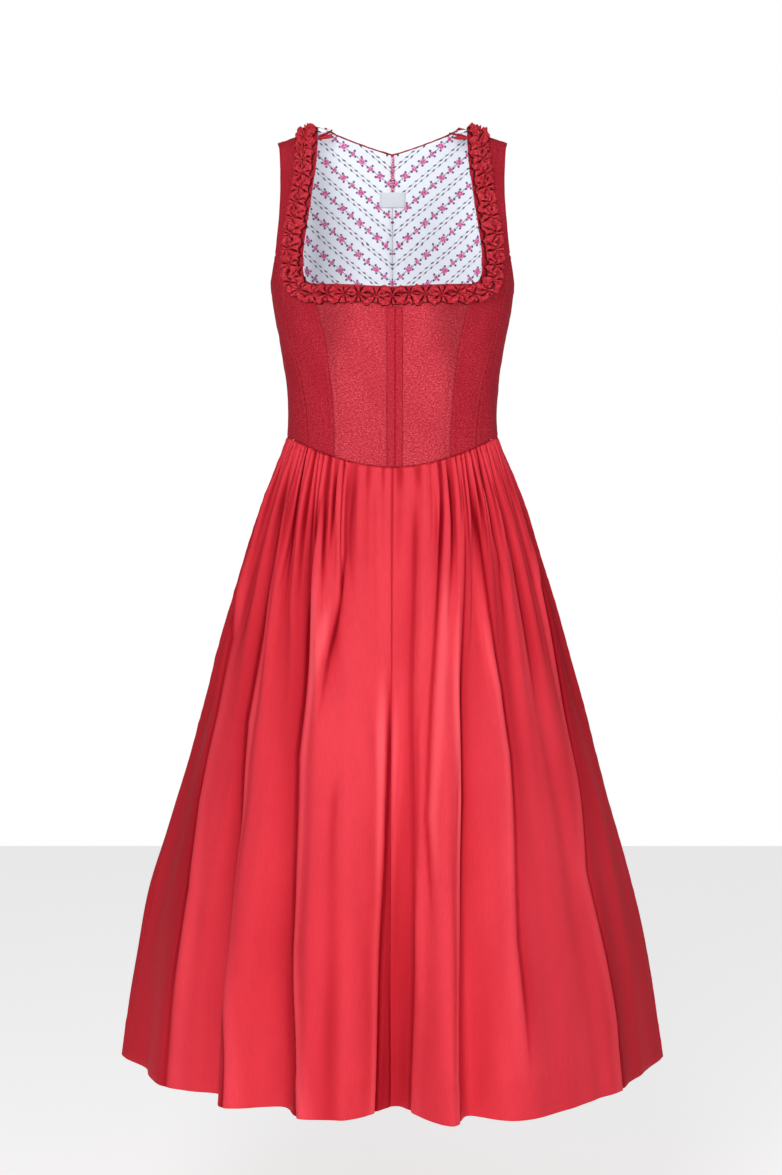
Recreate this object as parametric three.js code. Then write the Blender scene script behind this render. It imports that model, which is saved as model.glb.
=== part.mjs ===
// A sleeveless midi dirndl in its worn, hollow form: a fitted and lined bodice with a square
// neckline, a pinched ruche along that neckline, and a finely gathered skirt in four panels.
// Millimetres, +Z up. The dress faces -Y, +X is the wearer's left, and the origin lies midway
// between the shoulder seams. Every piece is a thin closed wall.
import * as THREE from "three";

// ---- Driving sizes ----
const OUTER_CLOTH = 1.5; // bodice twill with its interlining
const LINING_CLOTH = 1.0;
const SKIRT_CLOTH = 1.1;
const SEAM_GAP = 0.3; // between two pieces sewn edge to edge
const LINING_GAP = 0.8; // the loose layer between the bodice and its lining
const RING_POWER = 2.4; // the bodice's rings are superellipses
const HEM_POWER = 2.0;
const WAIST_HEIGHT = -366; // the waist seam at the sides
const WAIST_POINT_DROP = 41; // deeper at the centre front
const WAIST_BACK_DROP = 8;
const WAIST_POINT_POWER = 1.8;
const SKIRT_DROP = 0.7; // the skirt's top edge below the bodice's edge
const HEM_HEIGHT = -1120;
const HEM = { half: 329, front: 310, back: 300 };
const NECK_POINT_RISE = 9; // the shoulder seam's inner end above the origin
const SHOULDER_SLOPE = 0.34;
const SHOULDER_INNER_X = 91;
const SHOULDER_FLAT_X = 70;
const SHOULDER_FADE = 90; // the slope of the shoulder is gone this far down
const BUST = { x: 62, height: -212, wide: 38, tall: 42, out: 7.5 };
const BACK_NECK = { drop: -12.7, rise: 25.6, half: 84, power: 1.15 };

// ---- The body's sections, from the shoulder seam down ----
const SECTIONS = [
  { name: "shoulder seam", height: 0, half: 152, front: 0, back: 0 },
  { name: "shoulder roll", height: -3, half: 152, front: 14, back: 13 },
  { name: "collar bone", height: -14, half: 151.5, front: 34, back: 31 },
  { name: "upper chest", height: -45, half: 150.5, front: 64, back: 58 },
  { name: "chest", height: -90, half: 149.5, front: 88, back: 82 },
  { name: "mid armhole", height: -135, half: 148.5, front: 104, back: 96 },
  { name: "underarm", height: -184, half: 148, front: 113, back: 101 },
  { name: "bust", height: -215, half: 143.5, front: 114, back: 99 },
  { name: "under bust", height: -265, half: 134.5, front: 107, back: 91 },
  { name: "ribs", height: -300, half: 129, front: 100, back: 84 },
  { name: "waist", height: -340, half: 126.8, front: 95, back: 79 },
  { name: "hip yoke", height: -375, half: 129.5, front: 95.5, back: 80 },
  { name: "below", height: -420, half: 138, front: 98, back: 88 },
];

// ---- Seams and edges, as points on the front or back of the body ----
const NECKLINE = [
  { x: 92, height: -192.6 },
  { x: 100.5, height: -189 },
  { x: 105.3, height: -180 },
  { x: 106.5, height: -165 },
  { x: 105.9, height: -150 },
  { x: 99.6, height: -104 },
  { x: 95.3, height: -71 },
  { x: 91.6, height: -38 },
];
const NECKLINE_CENTRE = -198;
const FRONT_PRINCESS = [
  { x: 72.5, height: -315 },
  { x: 80.5, height: -256 },
  { x: 87.5, height: -226 },
  { x: 92, height: -192.6 },
];
const FRONT_PRINCESS_WAIST_X = 67;
const SIDE_FRONT = [
  { x: 106.5, height: -315 },
  { x: 125, height: -240 },
  { x: 135, height: -190 },
  { x: 140.5, height: -150 },
];
const SIDE_FRONT_WAIST_X = 99;
const FRONT_ARMHOLE = [
  { x: 140.5, height: -150 },
  { x: 137.4, height: -122 },
  { x: 134.9, height: -90 },
  { x: 134.6, height: -60 },
  { x: 136.4, height: -28 },
];
const FRONT_UNDERARM = [
  { x: 140.5, height: -150 },
  { x: 145.2, height: -172 },
];
const BACK_PRINCESS = [
  { x: 62, height: -315 },
  { x: 78, height: -250 },
  { x: 104, height: -180 },
  { x: 127, height: -127 },
  { x: 138, height: -108 },
];
const BACK_PRINCESS_WAIST_X = 55;
const BACK_ARMHOLE = [
  { x: 138, height: -108 },
  { x: 135.6, height: -80 },
  { x: 135.2, height: -55 },
  { x: 136.8, height: -28 },
];
const BACK_UNDERARM = [
  { x: 138, height: -108 },
  { x: 141.8, height: -140 },
  { x: 146, height: -170 },
];
const UNDERARM_HEIGHT = -184;
const SHOULDER_TIP_X = 139.5;
const CENTRE_BACK_BREAK = -118; // where the back panel's lower rows end

// ---- The closing, the ruche and the label ----
const PLACKET = { top: -220.6, cloth: 1.2, meetX: 3, leftWide: 8.5, rightWide: 9.5 };
const RUCHE = {
  starsEachSide: 18.5,
  steps: 4,
  base: 1.6,
  petal: 6,
  dimple: 2.4,
  pinch: 0.72,
  lastLevel: 0.02,
};
const RUCHE_STATIONS = [
  { inX: 94.5, inHeight: 7.5, outX: 114, outHeight: 1 },
  { inX: 95.5, inHeight: -36, outX: 115.5, outHeight: -38 },
  { inX: 98.5, inHeight: -71, outX: 118.5, outHeight: -72 },
  { inX: 103, inHeight: -104, outX: 123.5, outHeight: -105 },
  { inX: 108.8, inHeight: -148, outX: 128, outHeight: -147 },
  { inX: 109.6, inHeight: -167, outX: 128, outHeight: -172 },
  { inX: 106, inHeight: -184.5, outX: 120.5, outHeight: -198 },
  { inX: 96, inHeight: -193, outX: 104, outHeight: -211.5 },
  { inX: 77.5, inHeight: -196, outX: 81, outHeight: -215.5 },
  { inX: 40, inHeight: -198, outX: 41, outHeight: -217.5 },
  { inX: 0, inHeight: -199.3, outX: 0, outHeight: -219 },
];
const LABEL = { x: 0.5, top: -54, wide: 32, tall: 17.5, cloth: 1.0, gap: 0.6 };

// ---- The skirt ----
const FLARE = [
  { down: 0, out: 0 },
  { down: 0.1, out: 0.128 },
  { down: 0.3, out: 0.366 },
  { down: 0.5, out: 0.58 },
  { down: 0.7, out: 0.792 },
  { down: 0.85, out: 0.915 },
  { down: 1, out: 1 },
];
const GATHER_ZONES = [
  { gathers: 5, from: 0, to: 28 },
  { gathers: 10, from: 28, to: 62 },
  { gathers: 6, from: 62, to: 90 },
  { gathers: 7, from: 90, to: 122 },
  { gathers: 9, from: 122, to: 156 },
  { gathers: 5, from: 156, to: 180 },
];
const GATHER = { deep: 1.3, flatFrom: 0.03, flatTo: 0.17, columns: 4, perFold: 3 };
const SMALL_FOLD = { deep: 4.2, fullAt: 0.13, fadeFrom: 0.25, left: 0.3 };
// Each row is a crest or a trough of a large fold: where it starts at the waist and where it
// ends at the hem, in degrees round from the centre front, and how far out it reaches there.
const LARGE_FOLDS = [
  { waist: -180, hem: -180, reach: 0.93 },
  { waist: -163, hem: -166, reach: 1.07 },
  { waist: -147, hem: -148, reach: 0.95 },
  { waist: -134, hem: -132, reach: 1.06 },
  { waist: -122, hem: -117, reach: 0.94 },
  { waist: -97, hem: -97, reach: 1.02 },
  { waist: -79, hem: -75, reach: 0.92 },
  { waist: -67, hem: -58, reach: 0.96 },
  { waist: -57, hem: -43, reach: 0.88 },
  { waist: -49, hem: -33.5, reach: 1.03 },
  { waist: -41, hem: -24, reach: 0.915 },
  { waist: -33, hem: -15, reach: 1.06 },
  { waist: -22, hem: -9.5, reach: 1.055 },
  { waist: 3, hem: 0.8, reach: 0.83 },
  { waist: 26, hem: 9.8, reach: 1.14 },
  { waist: 33, hem: 13.8, reach: 1.0 },
  { waist: 40, hem: 20.5, reach: 1.12 },
  { waist: 57, hem: 46, reach: 1.0 },
  { waist: 75, hem: 69, reach: 0.94 },
  { waist: 92, hem: 91, reach: 0.995 },
  { waist: 107, hem: 105, reach: 0.94 },
  { waist: 121, hem: 119, reach: 1.05 },
  { waist: 135, hem: 134, reach: 0.93 },
  { waist: 150, hem: 151, reach: 1.07 },
  { waist: 165, hem: 166, reach: 0.96 },
  { waist: 172, hem: 173, reach: 1.03 },
  { waist: 180, hem: 180, reach: 0.93 },
];
const LARGE_FOLD_GROWTH = 1.15;
const FINE_ROWS = [0, 0.03, 0.105];
const MIDDLE_ROWS = [0.19, 0.3, 0.44, 0.6, 0.8, 1];

const COLOURS = {
  bodice: new THREE.MeshStandardMaterial({ color: 0xa52338, roughness: 0.85 }),
  lining: new THREE.MeshStandardMaterial({ color: 0xdfdde8, roughness: 0.9 }),
  label: new THREE.MeshStandardMaterial({ color: 0xf2f2f0, roughness: 0.8 }),
  ruche: new THREE.MeshStandardMaterial({ color: 0xb52b3c, roughness: 0.8 }),
  skirt: new THREE.MeshStandardMaterial({ color: 0xd8383f, roughness: 0.5 }),
};

// ---- Interpolation ----
const lerp = (a, b, t) => a + (b - a) * t;
const clamp01 = (t) => Math.min(1, Math.max(0, t));
const degrees = (d) => (d * Math.PI) / 180;

function smooth(from, to, value) {
  const t = clamp01((value - from) / (to - from));
  return t * t * (3 - 2 * t);
}

// A smooth curve through table rows: the value of column `wanted` where column `key` is `value`.
function between(rows, key, wanted, value) {
  let i = 0;
  while (i < rows.length - 2 && value > rows[i + 1][key]) i++;
  const [a, b] = [rows[i], rows[i + 1]];
  const before = rows[Math.max(0, i - 1)];
  const after = rows[Math.min(rows.length - 1, i + 2)];
  const run = b[key] - a[key];
  const t = clamp01((value - a[key]) / run);
  const slopeA = ((b[wanted] - before[wanted]) / (b[key] - before[key])) * run;
  const slopeB = ((after[wanted] - a[wanted]) / (after[key] - a[key])) * run;
  const t2 = t * t;
  const t3 = t2 * t;
  return (
    a[wanted] * (2 * t3 - 3 * t2 + 1) +
    slopeA * (t3 - 2 * t2 + t) +
    b[wanted] * (3 * t2 - 2 * t3) +
    slopeB * (t3 - t2)
  );
}

// A curve through points { turn, level }, evenly run by its share of length.
function curveThrough(points) {
  const curve = new THREE.CatmullRomCurve3(
    points.map((p) => new THREE.Vector3(p.turn, p.level * LEVEL_STRETCH, 0)),
    false,
    "centripetal",
  );
  return (share) => {
    const p = curve.getPointAt(clamp01(share));
    return { turn: p.x, level: p.y / LEVEL_STRETCH };
  };
}
const LEVEL_STRETCH = 14; // one section counts like this many degrees along a curve

// ---- The body's surface: turn in degrees from the centre front, level in rows of SECTIONS ----
const numbered = SECTIONS.map((row, level) => ({ ...row, level }));
const LAST_LEVEL = SECTIONS.length - 1;
const SEAM_LEVEL = 0.01;
const section = (level, wanted) => between(numbered, "level", wanted, level);

function ringPoint(half, depth, power, turn) {
  const a = degrees(turn);
  const [s, c] = [Math.sin(a), Math.cos(a)];
  const x = Math.sign(s) * half * Math.abs(s) ** (2 / power);
  const y = -Math.sign(c) * depth * Math.abs(c) ** (2 / power);
  return { x, y };
}

function shoulderRise(x) {
  const across = Math.max(Math.abs(x), SHOULDER_FLAT_X);
  return NECK_POINT_RISE + SHOULDER_SLOPE * (SHOULDER_INNER_X - across);
}

function bodyPoint({ turn, level }) {
  const front = Math.cos(degrees(turn)) > 0;
  const half = section(level, "half");
  const depth = section(level, front ? "front" : "back");
  const { x, y } = ringPoint(half, depth, RING_POWER, turn);
  const base = section(level, "height");
  const height = base + shoulderRise(x) * clamp01(1 + base / SHOULDER_FADE);
  const bust = front
    ? BUST.out *
      Math.cos(degrees(turn)) *
      Math.exp(-(((Math.abs(x) - BUST.x) / BUST.wide) ** 2)) *
      Math.exp(-(((height - BUST.height) / BUST.tall) ** 2))
    : 0;
  return new THREE.Vector3(x, y - bust, height);
}

function bodyNormal({ turn, level }) {
  const low = Math.max(0, level - 0.03);
  const high = Math.min(LAST_LEVEL, level + 0.03);
  const across = bodyPoint({ turn: turn + 0.6, level: Math.max(level, 0.03) }).sub(
    bodyPoint({ turn: turn - 0.6, level: Math.max(level, 0.03) }),
  );
  const along = bodyPoint({ turn, level: low }).sub(bodyPoint({ turn, level: high }));
  const normal = across.cross(along);
  // The front and back meet face to face on the shoulder and down the side.
  if (level < SEAM_LEVEL || Math.abs(Math.abs(turn) - 90) < SEAM_LEVEL) normal.y = 0;
  return normal.normalize();
}

// The level at which a body turn, or an x on the front or back, lies at a height.
function levelAt(height, turnAt) {
  let [low, high] = [0, LAST_LEVEL];
  for (let i = 0; i < 40; i++) {
    const middle = (low + high) / 2;
    if (bodyPoint({ turn: turnAt(middle), level: middle }).z > height) low = middle;
    else high = middle;
  }
  return (low + high) / 2;
}

function onBody({ x, height }, front) {
  const turnAt = (level) => {
    const share = clamp01(Math.abs(x) / section(level, "half"));
    const turn = (Math.asin(share ** (RING_POWER / 2)) * 180) / Math.PI;
    return front ? turn : 180 - turn;
  };
  const level = levelAt(height, turnAt);
  return { turn: turnAt(level), level };
}

function waistHeight(turn) {
  const share = Math.abs(Math.sin(degrees(turn))) ** (2 / RING_POWER);
  if (Math.cos(degrees(turn)) > 0) {
    return WAIST_HEIGHT - WAIST_POINT_DROP * (1 - share ** WAIST_POINT_POWER);
  }
  return WAIST_HEIGHT - WAIST_BACK_DROP * (1 - share);
}

function onWaist(turn) {
  return { turn, level: levelAt(waistHeight(turn), () => turn) };
}

function waistTurn(x, front) {
  return onBody({ x, height: WAIST_HEIGHT }, front).turn;
}

// ---- Sheets: points with their normals, and triangles between them ----
function gridSheet(columns, rows, pointAt) {
  const points = [];
  const faces = [];
  for (let j = 0; j <= rows; j++) {
    for (let i = 0; i <= columns; i++) points.push(pointAt(i, j));
  }
  const at = (i, j) => j * (columns + 1) + i;
  for (let j = 0; j < rows; j++) {
    for (let i = 0; i < columns; i++) {
      faces.push([at(i, j), at(i + 1, j), at(i + 1, j + 1)]);
      faces.push([at(i, j), at(i + 1, j + 1), at(i, j + 1)]);
    }
  }
  return { points, faces };
}

// Sheets that share edges become one.
function joinSheets(sheets) {
  const points = [];
  const faces = [];
  const known = new Map();
  for (const sheet of sheets) {
    const index = sheet.points.map((p) => {
      const key = p.place.toArray().map((v) => Math.round(v * 200)).join();
      if (!known.has(key)) {
        known.set(key, points.length);
        points.push(p);
      }
      return known.get(key);
    });
    for (const face of sheet.faces) faces.push(face.map((i) => index[i]));
  }
  return { points, faces: faces.filter(([a, b, c]) => a !== b && b !== c && c !== a) };
}

// A closed wall: the sheet's points moved out to `outer` and to `inner`, and a rim round it.
function wall(name, material, sheet, outer, inner) {
  const count = sheet.points.length;
  const positions = [];
  for (const offset of [outer, inner]) {
    for (const { place, normal, raise = 0 } of sheet.points) {
      const reach = offset + (offset === outer ? raise : 0);
      positions.push(...place.clone().addScaledVector(normal, reach).toArray());
    }
  }
  const used = new Set();
  for (const [a, b, c] of sheet.faces) {
    for (const [p, q] of [[a, b], [b, c], [c, a]]) used.add(p * count + q);
  }
  const indices = [];
  for (const [a, b, c] of sheet.faces) {
    indices.push(a, b, c);
    indices.push(a + count, c + count, b + count);
    for (const [p, q] of [[a, b], [b, c], [c, a]]) {
      if (used.has(q * count + p)) continue;
      indices.push(p, p + count, q + count);
      indices.push(p, q + count, q);
    }
  }
  const geometry = new THREE.BufferGeometry();
  geometry.setAttribute("position", new THREE.Float32BufferAttribute(positions, 3));
  geometry.setIndex(indices);
  geometry.computeVertexNormals();
  const mesh = new THREE.Mesh(geometry, material);
  mesh.name = name;
  return mesh;
}

function mirrored(sheet) {
  const points = sheet.points.map(({ place, normal, raise }) => ({
    place: new THREE.Vector3(-place.x, place.y, place.z),
    normal: new THREE.Vector3(-normal.x, normal.y, normal.z),
    raise,
  }));
  return { points, faces: sheet.faces.map(([a, b, c]) => [a, c, b]) };
}

// Moves a grid's point away from the seams it lies on, by half the gap.
function clearOfSeams(pointAt, columns, rows, seams) {
  return (i, j) => {
    const p = pointAt(i, j);
    const steps = [
      [seams.left && i === 0, 1, 0],
      [seams.right && i === columns, -1, 0],
      [seams.top && j === rows, 0, -1],
      [seams.bottom && j === 0, 0, 1],
    ];
    const place = p.place.clone();
    for (const [applies, di, dj] of steps) {
      if (!applies) continue;
      const step = pointAt(i + di, j + dj).place.clone().sub(p.place).normalize();
      place.addScaledVector(step, SEAM_GAP / 2);
    }
    return { ...p, place };
  };
}

// ---- Bodice panels: patches between four edges on the body ----
function patchPoint(edges, u, v) {
  const [b, t, l, r] = [edges.bottom(u), edges.top(u), edges.left(v), edges.right(v)];
  const [bl, br, tl, tr] = [edges.left(0), edges.right(0), edges.left(1), edges.right(1)];
  const blend = (key) =>
    lerp(b[key], t[key], v) +
    lerp(l[key], r[key], u) -
    lerp(lerp(bl[key], br[key], u), lerp(tl[key], tr[key], u), v);
  return { turn: blend("turn"), level: blend("level") };
}

function bodyPatch(edges, columns, rows, seams) {
  const plain = (i, j) => {
    const at = patchPoint(edges, i / columns, j / rows);
    return { place: bodyPoint(at), normal: bodyNormal(at) };
  };
  return {
    cut: gridSheet(columns, rows, clearOfSeams(plain, columns, rows, seams)),
    whole: gridSheet(columns, rows, plain),
  };
}

const waistEdge = (from, to) => (share) => onWaist(lerp(from, to, share));
const onFront = (rows) => rows.map((row) => onBody(row, true));
const onBack = (rows) => rows.map((row) => onBody(row, false));

const princessTurn = waistTurn(FRONT_PRINCESS_WAIST_X, true);
const sideFrontTurn = waistTurn(SIDE_FRONT_WAIST_X, true);
const backPrincessTurn = waistTurn(BACK_PRINCESS_WAIST_X, false);
const necklineCorner = onBody(NECKLINE[0], true);
const necklineCentre = { turn: 0, level: onBody({ x: 0, height: NECKLINE_CENTRE }, true).level };
const armholeJoin = onBody(SIDE_FRONT.at(-1), true);
const underarm = { turn: 90, level: onBody({ x: 148, height: UNDERARM_HEIGHT }, true).level };
const backJoin = onBody(BACK_PRINCESS.at(-1), false);
const shoulderInner = onBody({ x: SHOULDER_INNER_X, height: 99 }, true);
const shoulderTip = onBody({ x: SHOULDER_TIP_X, height: 99 }, true);
const backShoulderInner = onBody({ x: BACK_NECK.half, height: 99 }, false);
const backShoulderTip = onBody({ x: SHOULDER_TIP_X, height: 99 }, false);

const edge = {
  centreFront: curveThrough([onWaist(0), necklineCentre]),
  princess: curveThrough([onWaist(princessTurn), ...onFront(FRONT_PRINCESS)]),
  sideFront: curveThrough([onWaist(sideFrontTurn), ...onFront(SIDE_FRONT)]),
  side: curveThrough([onWaist(90), underarm]),
  neckline: curveThrough([...onFront(NECKLINE), shoulderInner]),
  frontArmhole: curveThrough([...onFront(FRONT_ARMHOLE), shoulderTip]),
  frontUnderarm: curveThrough([...onFront(FRONT_UNDERARM), underarm]),
  necklineBottom: curveThrough([necklineCentre, necklineCorner]),
  strapFoot: curveThrough([necklineCorner, armholeJoin]),
  frontShoulder: curveThrough([shoulderInner, shoulderTip]),
  backPrincess: curveThrough([onWaist(backPrincessTurn), ...onBack(BACK_PRINCESS)]),
  backArmhole: curveThrough([...onBack(BACK_ARMHOLE), backShoulderTip]),
  backUnderarm: curveThrough([backJoin, ...onBack(BACK_UNDERARM).slice(1), underarm]),
};

function backNeckPoint(share) {
  const x = BACK_NECK.half * share;
  const height = BACK_NECK.drop + BACK_NECK.rise * share ** BACK_NECK.power;
  return onBody({ x, height: share === 1 ? 99 : height }, false);
}
const NECK_SHARE = 4 / 7; // of the back panel's columns, the rest run along the shoulder seam
const centreBackBreak = onBody({ x: 0, height: CENTRE_BACK_BREAK }, false);
const backNeckCentre = backNeckPoint(0);

function backTop(share) {
  if (share <= NECK_SHARE) return backNeckPoint(share / NECK_SHARE);
  const along = (share - NECK_SHARE) / (1 - NECK_SHARE);
  return {
    turn: lerp(backShoulderInner.turn, backShoulderTip.turn, along),
    level: 0,
  };
}

const ROWS = { lower: 8, strap: 8, backUpper: 6 };
const COLUMNS = { centre: 5, frontSide: 4, side: 4, backCentre: 7, backSide: 5 };

const panels = {
  frontCentre: bodyPatch(
    {
      left: edge.centreFront,
      right: edge.princess,
      bottom: waistEdge(0, princessTurn),
      top: edge.necklineBottom,
    },
    COLUMNS.centre,
    ROWS.lower,
    { left: true, right: true },
  ),
  frontSideLower: bodyPatch(
    {
      left: edge.princess,
      right: edge.sideFront,
      bottom: waistEdge(princessTurn, sideFrontTurn),
      top: edge.strapFoot,
    },
    COLUMNS.frontSide,
    ROWS.lower,
    { left: true, right: true },
  ),
  frontStrap: bodyPatch(
    {
      left: edge.neckline,
      right: edge.frontArmhole,
      bottom: edge.strapFoot,
      top: edge.frontShoulder,
    },
    COLUMNS.frontSide,
    ROWS.strap,
    { top: true },
  ),
  side: bodyPatch(
    {
      left: edge.sideFront,
      right: edge.side,
      bottom: waistEdge(sideFrontTurn, 90),
      top: edge.frontUnderarm,
    },
    COLUMNS.side,
    ROWS.lower,
    { left: true, right: true },
  ),
  backSide: bodyPatch(
    {
      left: edge.side,
      right: edge.backPrincess,
      bottom: waistEdge(90, backPrincessTurn),
      top: (share) => edge.backUnderarm(1 - share),
    },
    COLUMNS.backSide,
    ROWS.lower,
    { left: true, right: true },
  ),
  backCentreLower: bodyPatch(
    {
      left: edge.backPrincess,
      right: curveThrough([onWaist(180), centreBackBreak]),
      bottom: waistEdge(backPrincessTurn, 180),
      top: curveThrough([backJoin, centreBackBreak]),
    },
    COLUMNS.backCentre,
    ROWS.lower,
    { left: true, right: true },
  ),
  backCentreUpper: bodyPatch(
    {
      left: edge.backArmhole,
      right: curveThrough([centreBackBreak, backNeckCentre]),
      bottom: curveThrough([backJoin, centreBackBreak]),
      top: (share) => backTop(1 - share),
    },
    COLUMNS.backCentre,
    ROWS.backUpper,
    { right: true, top: true },
  ),
};

const cutOf = (...names) => joinSheets(names.map((name) => panels[name].cut));
const wholeOf = (...names) => joinSheets(names.map((name) => panels[name].whole));

// A panel grid's lower block and strap meet at a corner where one has a seam and one has not,
// so the strap's foot takes the lower block's top row.
function panelWithStrap(lower, strap, columns, rows) {
  const top = panels[lower].cut.points.slice(rows * (columns + 1));
  top.forEach((p, i) => (panels[strap].cut.points[i] = p));
  return cutOf(lower, strap);
}

const outerPanels = {
  front_centre: panels.frontCentre.cut,
  front_side: panelWithStrap("frontSideLower", "frontStrap", COLUMNS.frontSide, ROWS.lower),
  side: panels.side.cut,
  back_side: panels.backSide.cut,
  back_centre: panelWithStrap("backCentreLower", "backCentreUpper", COLUMNS.backCentre, ROWS.lower),
};

const LINING_OUT = -(OUTER_CLOTH + LINING_GAP);
const LINING_IN = LINING_OUT - LINING_CLOTH;

// The lining is cut in one with its panels, a little short of the seams at the centres and sides.
function seamTrimmed(sheet) {
  const half = SEAM_GAP / 2;
  const points = sheet.points.map((p) => {
    const place = p.place.clone();
    if (Math.abs(place.x) < half) place.x = half;
    return { ...p, place };
  });
  return { points, faces: sheet.faces };
}

function sideTrimmed(sheet, direction) {
  const points = sheet.points.map((p) => {
    const place = p.place.clone();
    if (Math.abs(place.y) < 1e-3 && place.z < UNDERARM_HEIGHT + 2) {
      place.y += (direction * SEAM_GAP) / 2;
    }
    return { ...p, place };
  });
  return { points, faces: sheet.faces };
}

function shoulderTrimmed(sheet, direction) {
  const points = sheet.points.map((p) => {
    const place = p.place.clone();
    if (Math.abs(place.y) < 1e-3 && place.z > UNDERARM_HEIGHT + 40) {
      place.y += (direction * SEAM_GAP) / 2;
    }
    return { ...p, place };
  });
  return { points, faces: sheet.faces };
}

const liningPanels = {
  lining_front: shoulderTrimmed(
    sideTrimmed(seamTrimmed(wholeOf("frontCentre", "frontSideLower", "frontStrap", "side")), -1),
    -1,
  ),
  lining_back: shoulderTrimmed(
    sideTrimmed(seamTrimmed(wholeOf("backSide", "backCentreLower", "backCentreUpper")), 1),
    1,
  ),
};

// ---- Centre front placket: two folded strips over the concealed closing, which meet a little to
// the wearer's left of the centre, because the right front laps over ----
function placketSheet(fromX, toX) {
  const [first, last] = [onWaist(0).level, onBody({ x: 0, height: PLACKET.top }, true).level];
  const centre = edge.centreFront;
  const rows = ROWS.lower;
  const pointAt = (i, j) => {
    const at = centre(j / rows);
    const level = Math.max(at.level, last);
    const x = lerp(fromX, toX, i);
    const share = (Math.abs(x) / section(level, "half")) ** (RING_POWER / 2);
    const turn = (Math.sign(x) * Math.asin(share) * 180) / Math.PI;
    const spot = { turn, level: j === 0 ? Math.min(first, onWaist(turn).level) : level };
    return { place: bodyPoint(spot), normal: bodyNormal(spot) };
  };
  const lastRow = Array.from({ length: rows + 1 }, (_, j) => j).find(
    (j) => centre(j / rows).level <= last,
  );
  return gridSheet(1, lastRow, pointAt);
}

// ---- Ruche: a pinched strip along each side's neckline, from the centre front to the shoulder ----
function rucheSheet() {
  const through = (x, height) =>
    new THREE.CatmullRomCurve3(
      RUCHE_STATIONS.map((row) => {
        const spot = onBody({ x: row[x], height: row[height] }, true);
        return new THREE.Vector3(spot.turn, spot.level * LEVEL_STRETCH, 0);
      }).reverse(),
      false,
      "centripetal",
    );
  const inner = through("inX", "inHeight");
  const outer = through("outX", "outHeight");
  const spotAt = (share, across) => {
    const p = inner.getPoint(share).lerp(outer.getPoint(share), across);
    return { turn: p.x, level: Math.max(RUCHE.lastLevel, p.y / LEVEL_STRETCH) };
  };
  const samples = 200;
  const lengths = [0];
  for (let k = 1; k <= samples; k++) {
    const a = bodyPoint(spotAt((k - 1) / samples, 0.5));
    const b = bodyPoint(spotAt(k / samples, 0.5));
    lengths.push(lengths.at(-1) + a.distanceTo(b));
  }
  const shareAt = (length) => {
    const k = Math.max(1, lengths.findIndex((l) => l >= length - 1e-6));
    const t = (length - lengths[k - 1]) / (lengths[k] - lengths[k - 1]);
    return (k - 1 + clamp01(t)) / samples;
  };
  const rows = RUCHE.starsEachSide * RUCHE.steps;
  const across = 4;
  const pointAt = (i, j) => {
    const share = shareAt((lengths.at(-1) * j) / rows);
    const beat = Math.sin((Math.PI * j) / RUCHE.steps) ** 2;
    const side = (2 * i) / across - 1;
    const at = spotAt(share, 0.5 + 0.5 * side * lerp(RUCHE.pinch, 1, beat));
    const place = bodyPoint(at);
    if (j === 0) place.x = SEAM_GAP / 2;
    const dip = [1, 0, 0.5][Math.round(2 * Math.abs(side))];
    return { place, normal: bodyNormal(at), raise: beat * (RUCHE.petal - RUCHE.dimple * dip) };
  };
  return gridSheet(across, rows, pointAt);
}

// ---- Label, inside the back below the neckline ----
function labelSheet() {
  const [columns, rows] = [4, 2];
  const pointAt = (i, j) => {
    const x = LABEL.x + LABEL.wide * (0.5 - i / columns);
    const height = LABEL.top - LABEL.tall * (1 - j / rows);
    const at = onBody({ x, height }, false);
    const spot = x < 0 ? { turn: -at.turn, level: at.level } : at;
    return { place: bodyPoint(spot), normal: bodyNormal(spot) };
  };
  return gridSheet(columns, rows, pointAt);
}

// ---- Skirt ----
const gatherMarks = GATHER_ZONES.reduce(
  (marks, zone) => [...marks, { count: marks.at(-1).count + zone.gathers, turn: zone.to }],
  [{ count: 0, turn: 0 }],
);
const GATHERS_PER_QUARTER = 21;

function gatherTurn(count) {
  return between(gatherMarks, "count", "turn", count);
}

function foldBetween(wanted, turn) {
  let i = 0;
  while (i < LARGE_FOLDS.length - 2 && turn > LARGE_FOLDS[i + 1].waist) i++;
  const [a, b] = [LARGE_FOLDS[i], LARGE_FOLDS[i + 1]];
  const t = clamp01((turn - a.waist) / (b.waist - a.waist));
  return lerp(a[wanted], b[wanted], wanted === "reach" ? smooth(0, 1, t) : t);
}

function hemTurn(turn) {
  const spread = 5;
  const around = [-spread, 0, spread].map((d) => {
    const t = turn + d;
    if (t > 180) return 360 + foldBetween("hem", t - 360);
    if (t < -180) return foldBetween("hem", t + 360) - 360;
    return foldBetween("hem", t);
  });
  return (around[0] + 2 * around[1] + around[2]) / 4;
}

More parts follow.
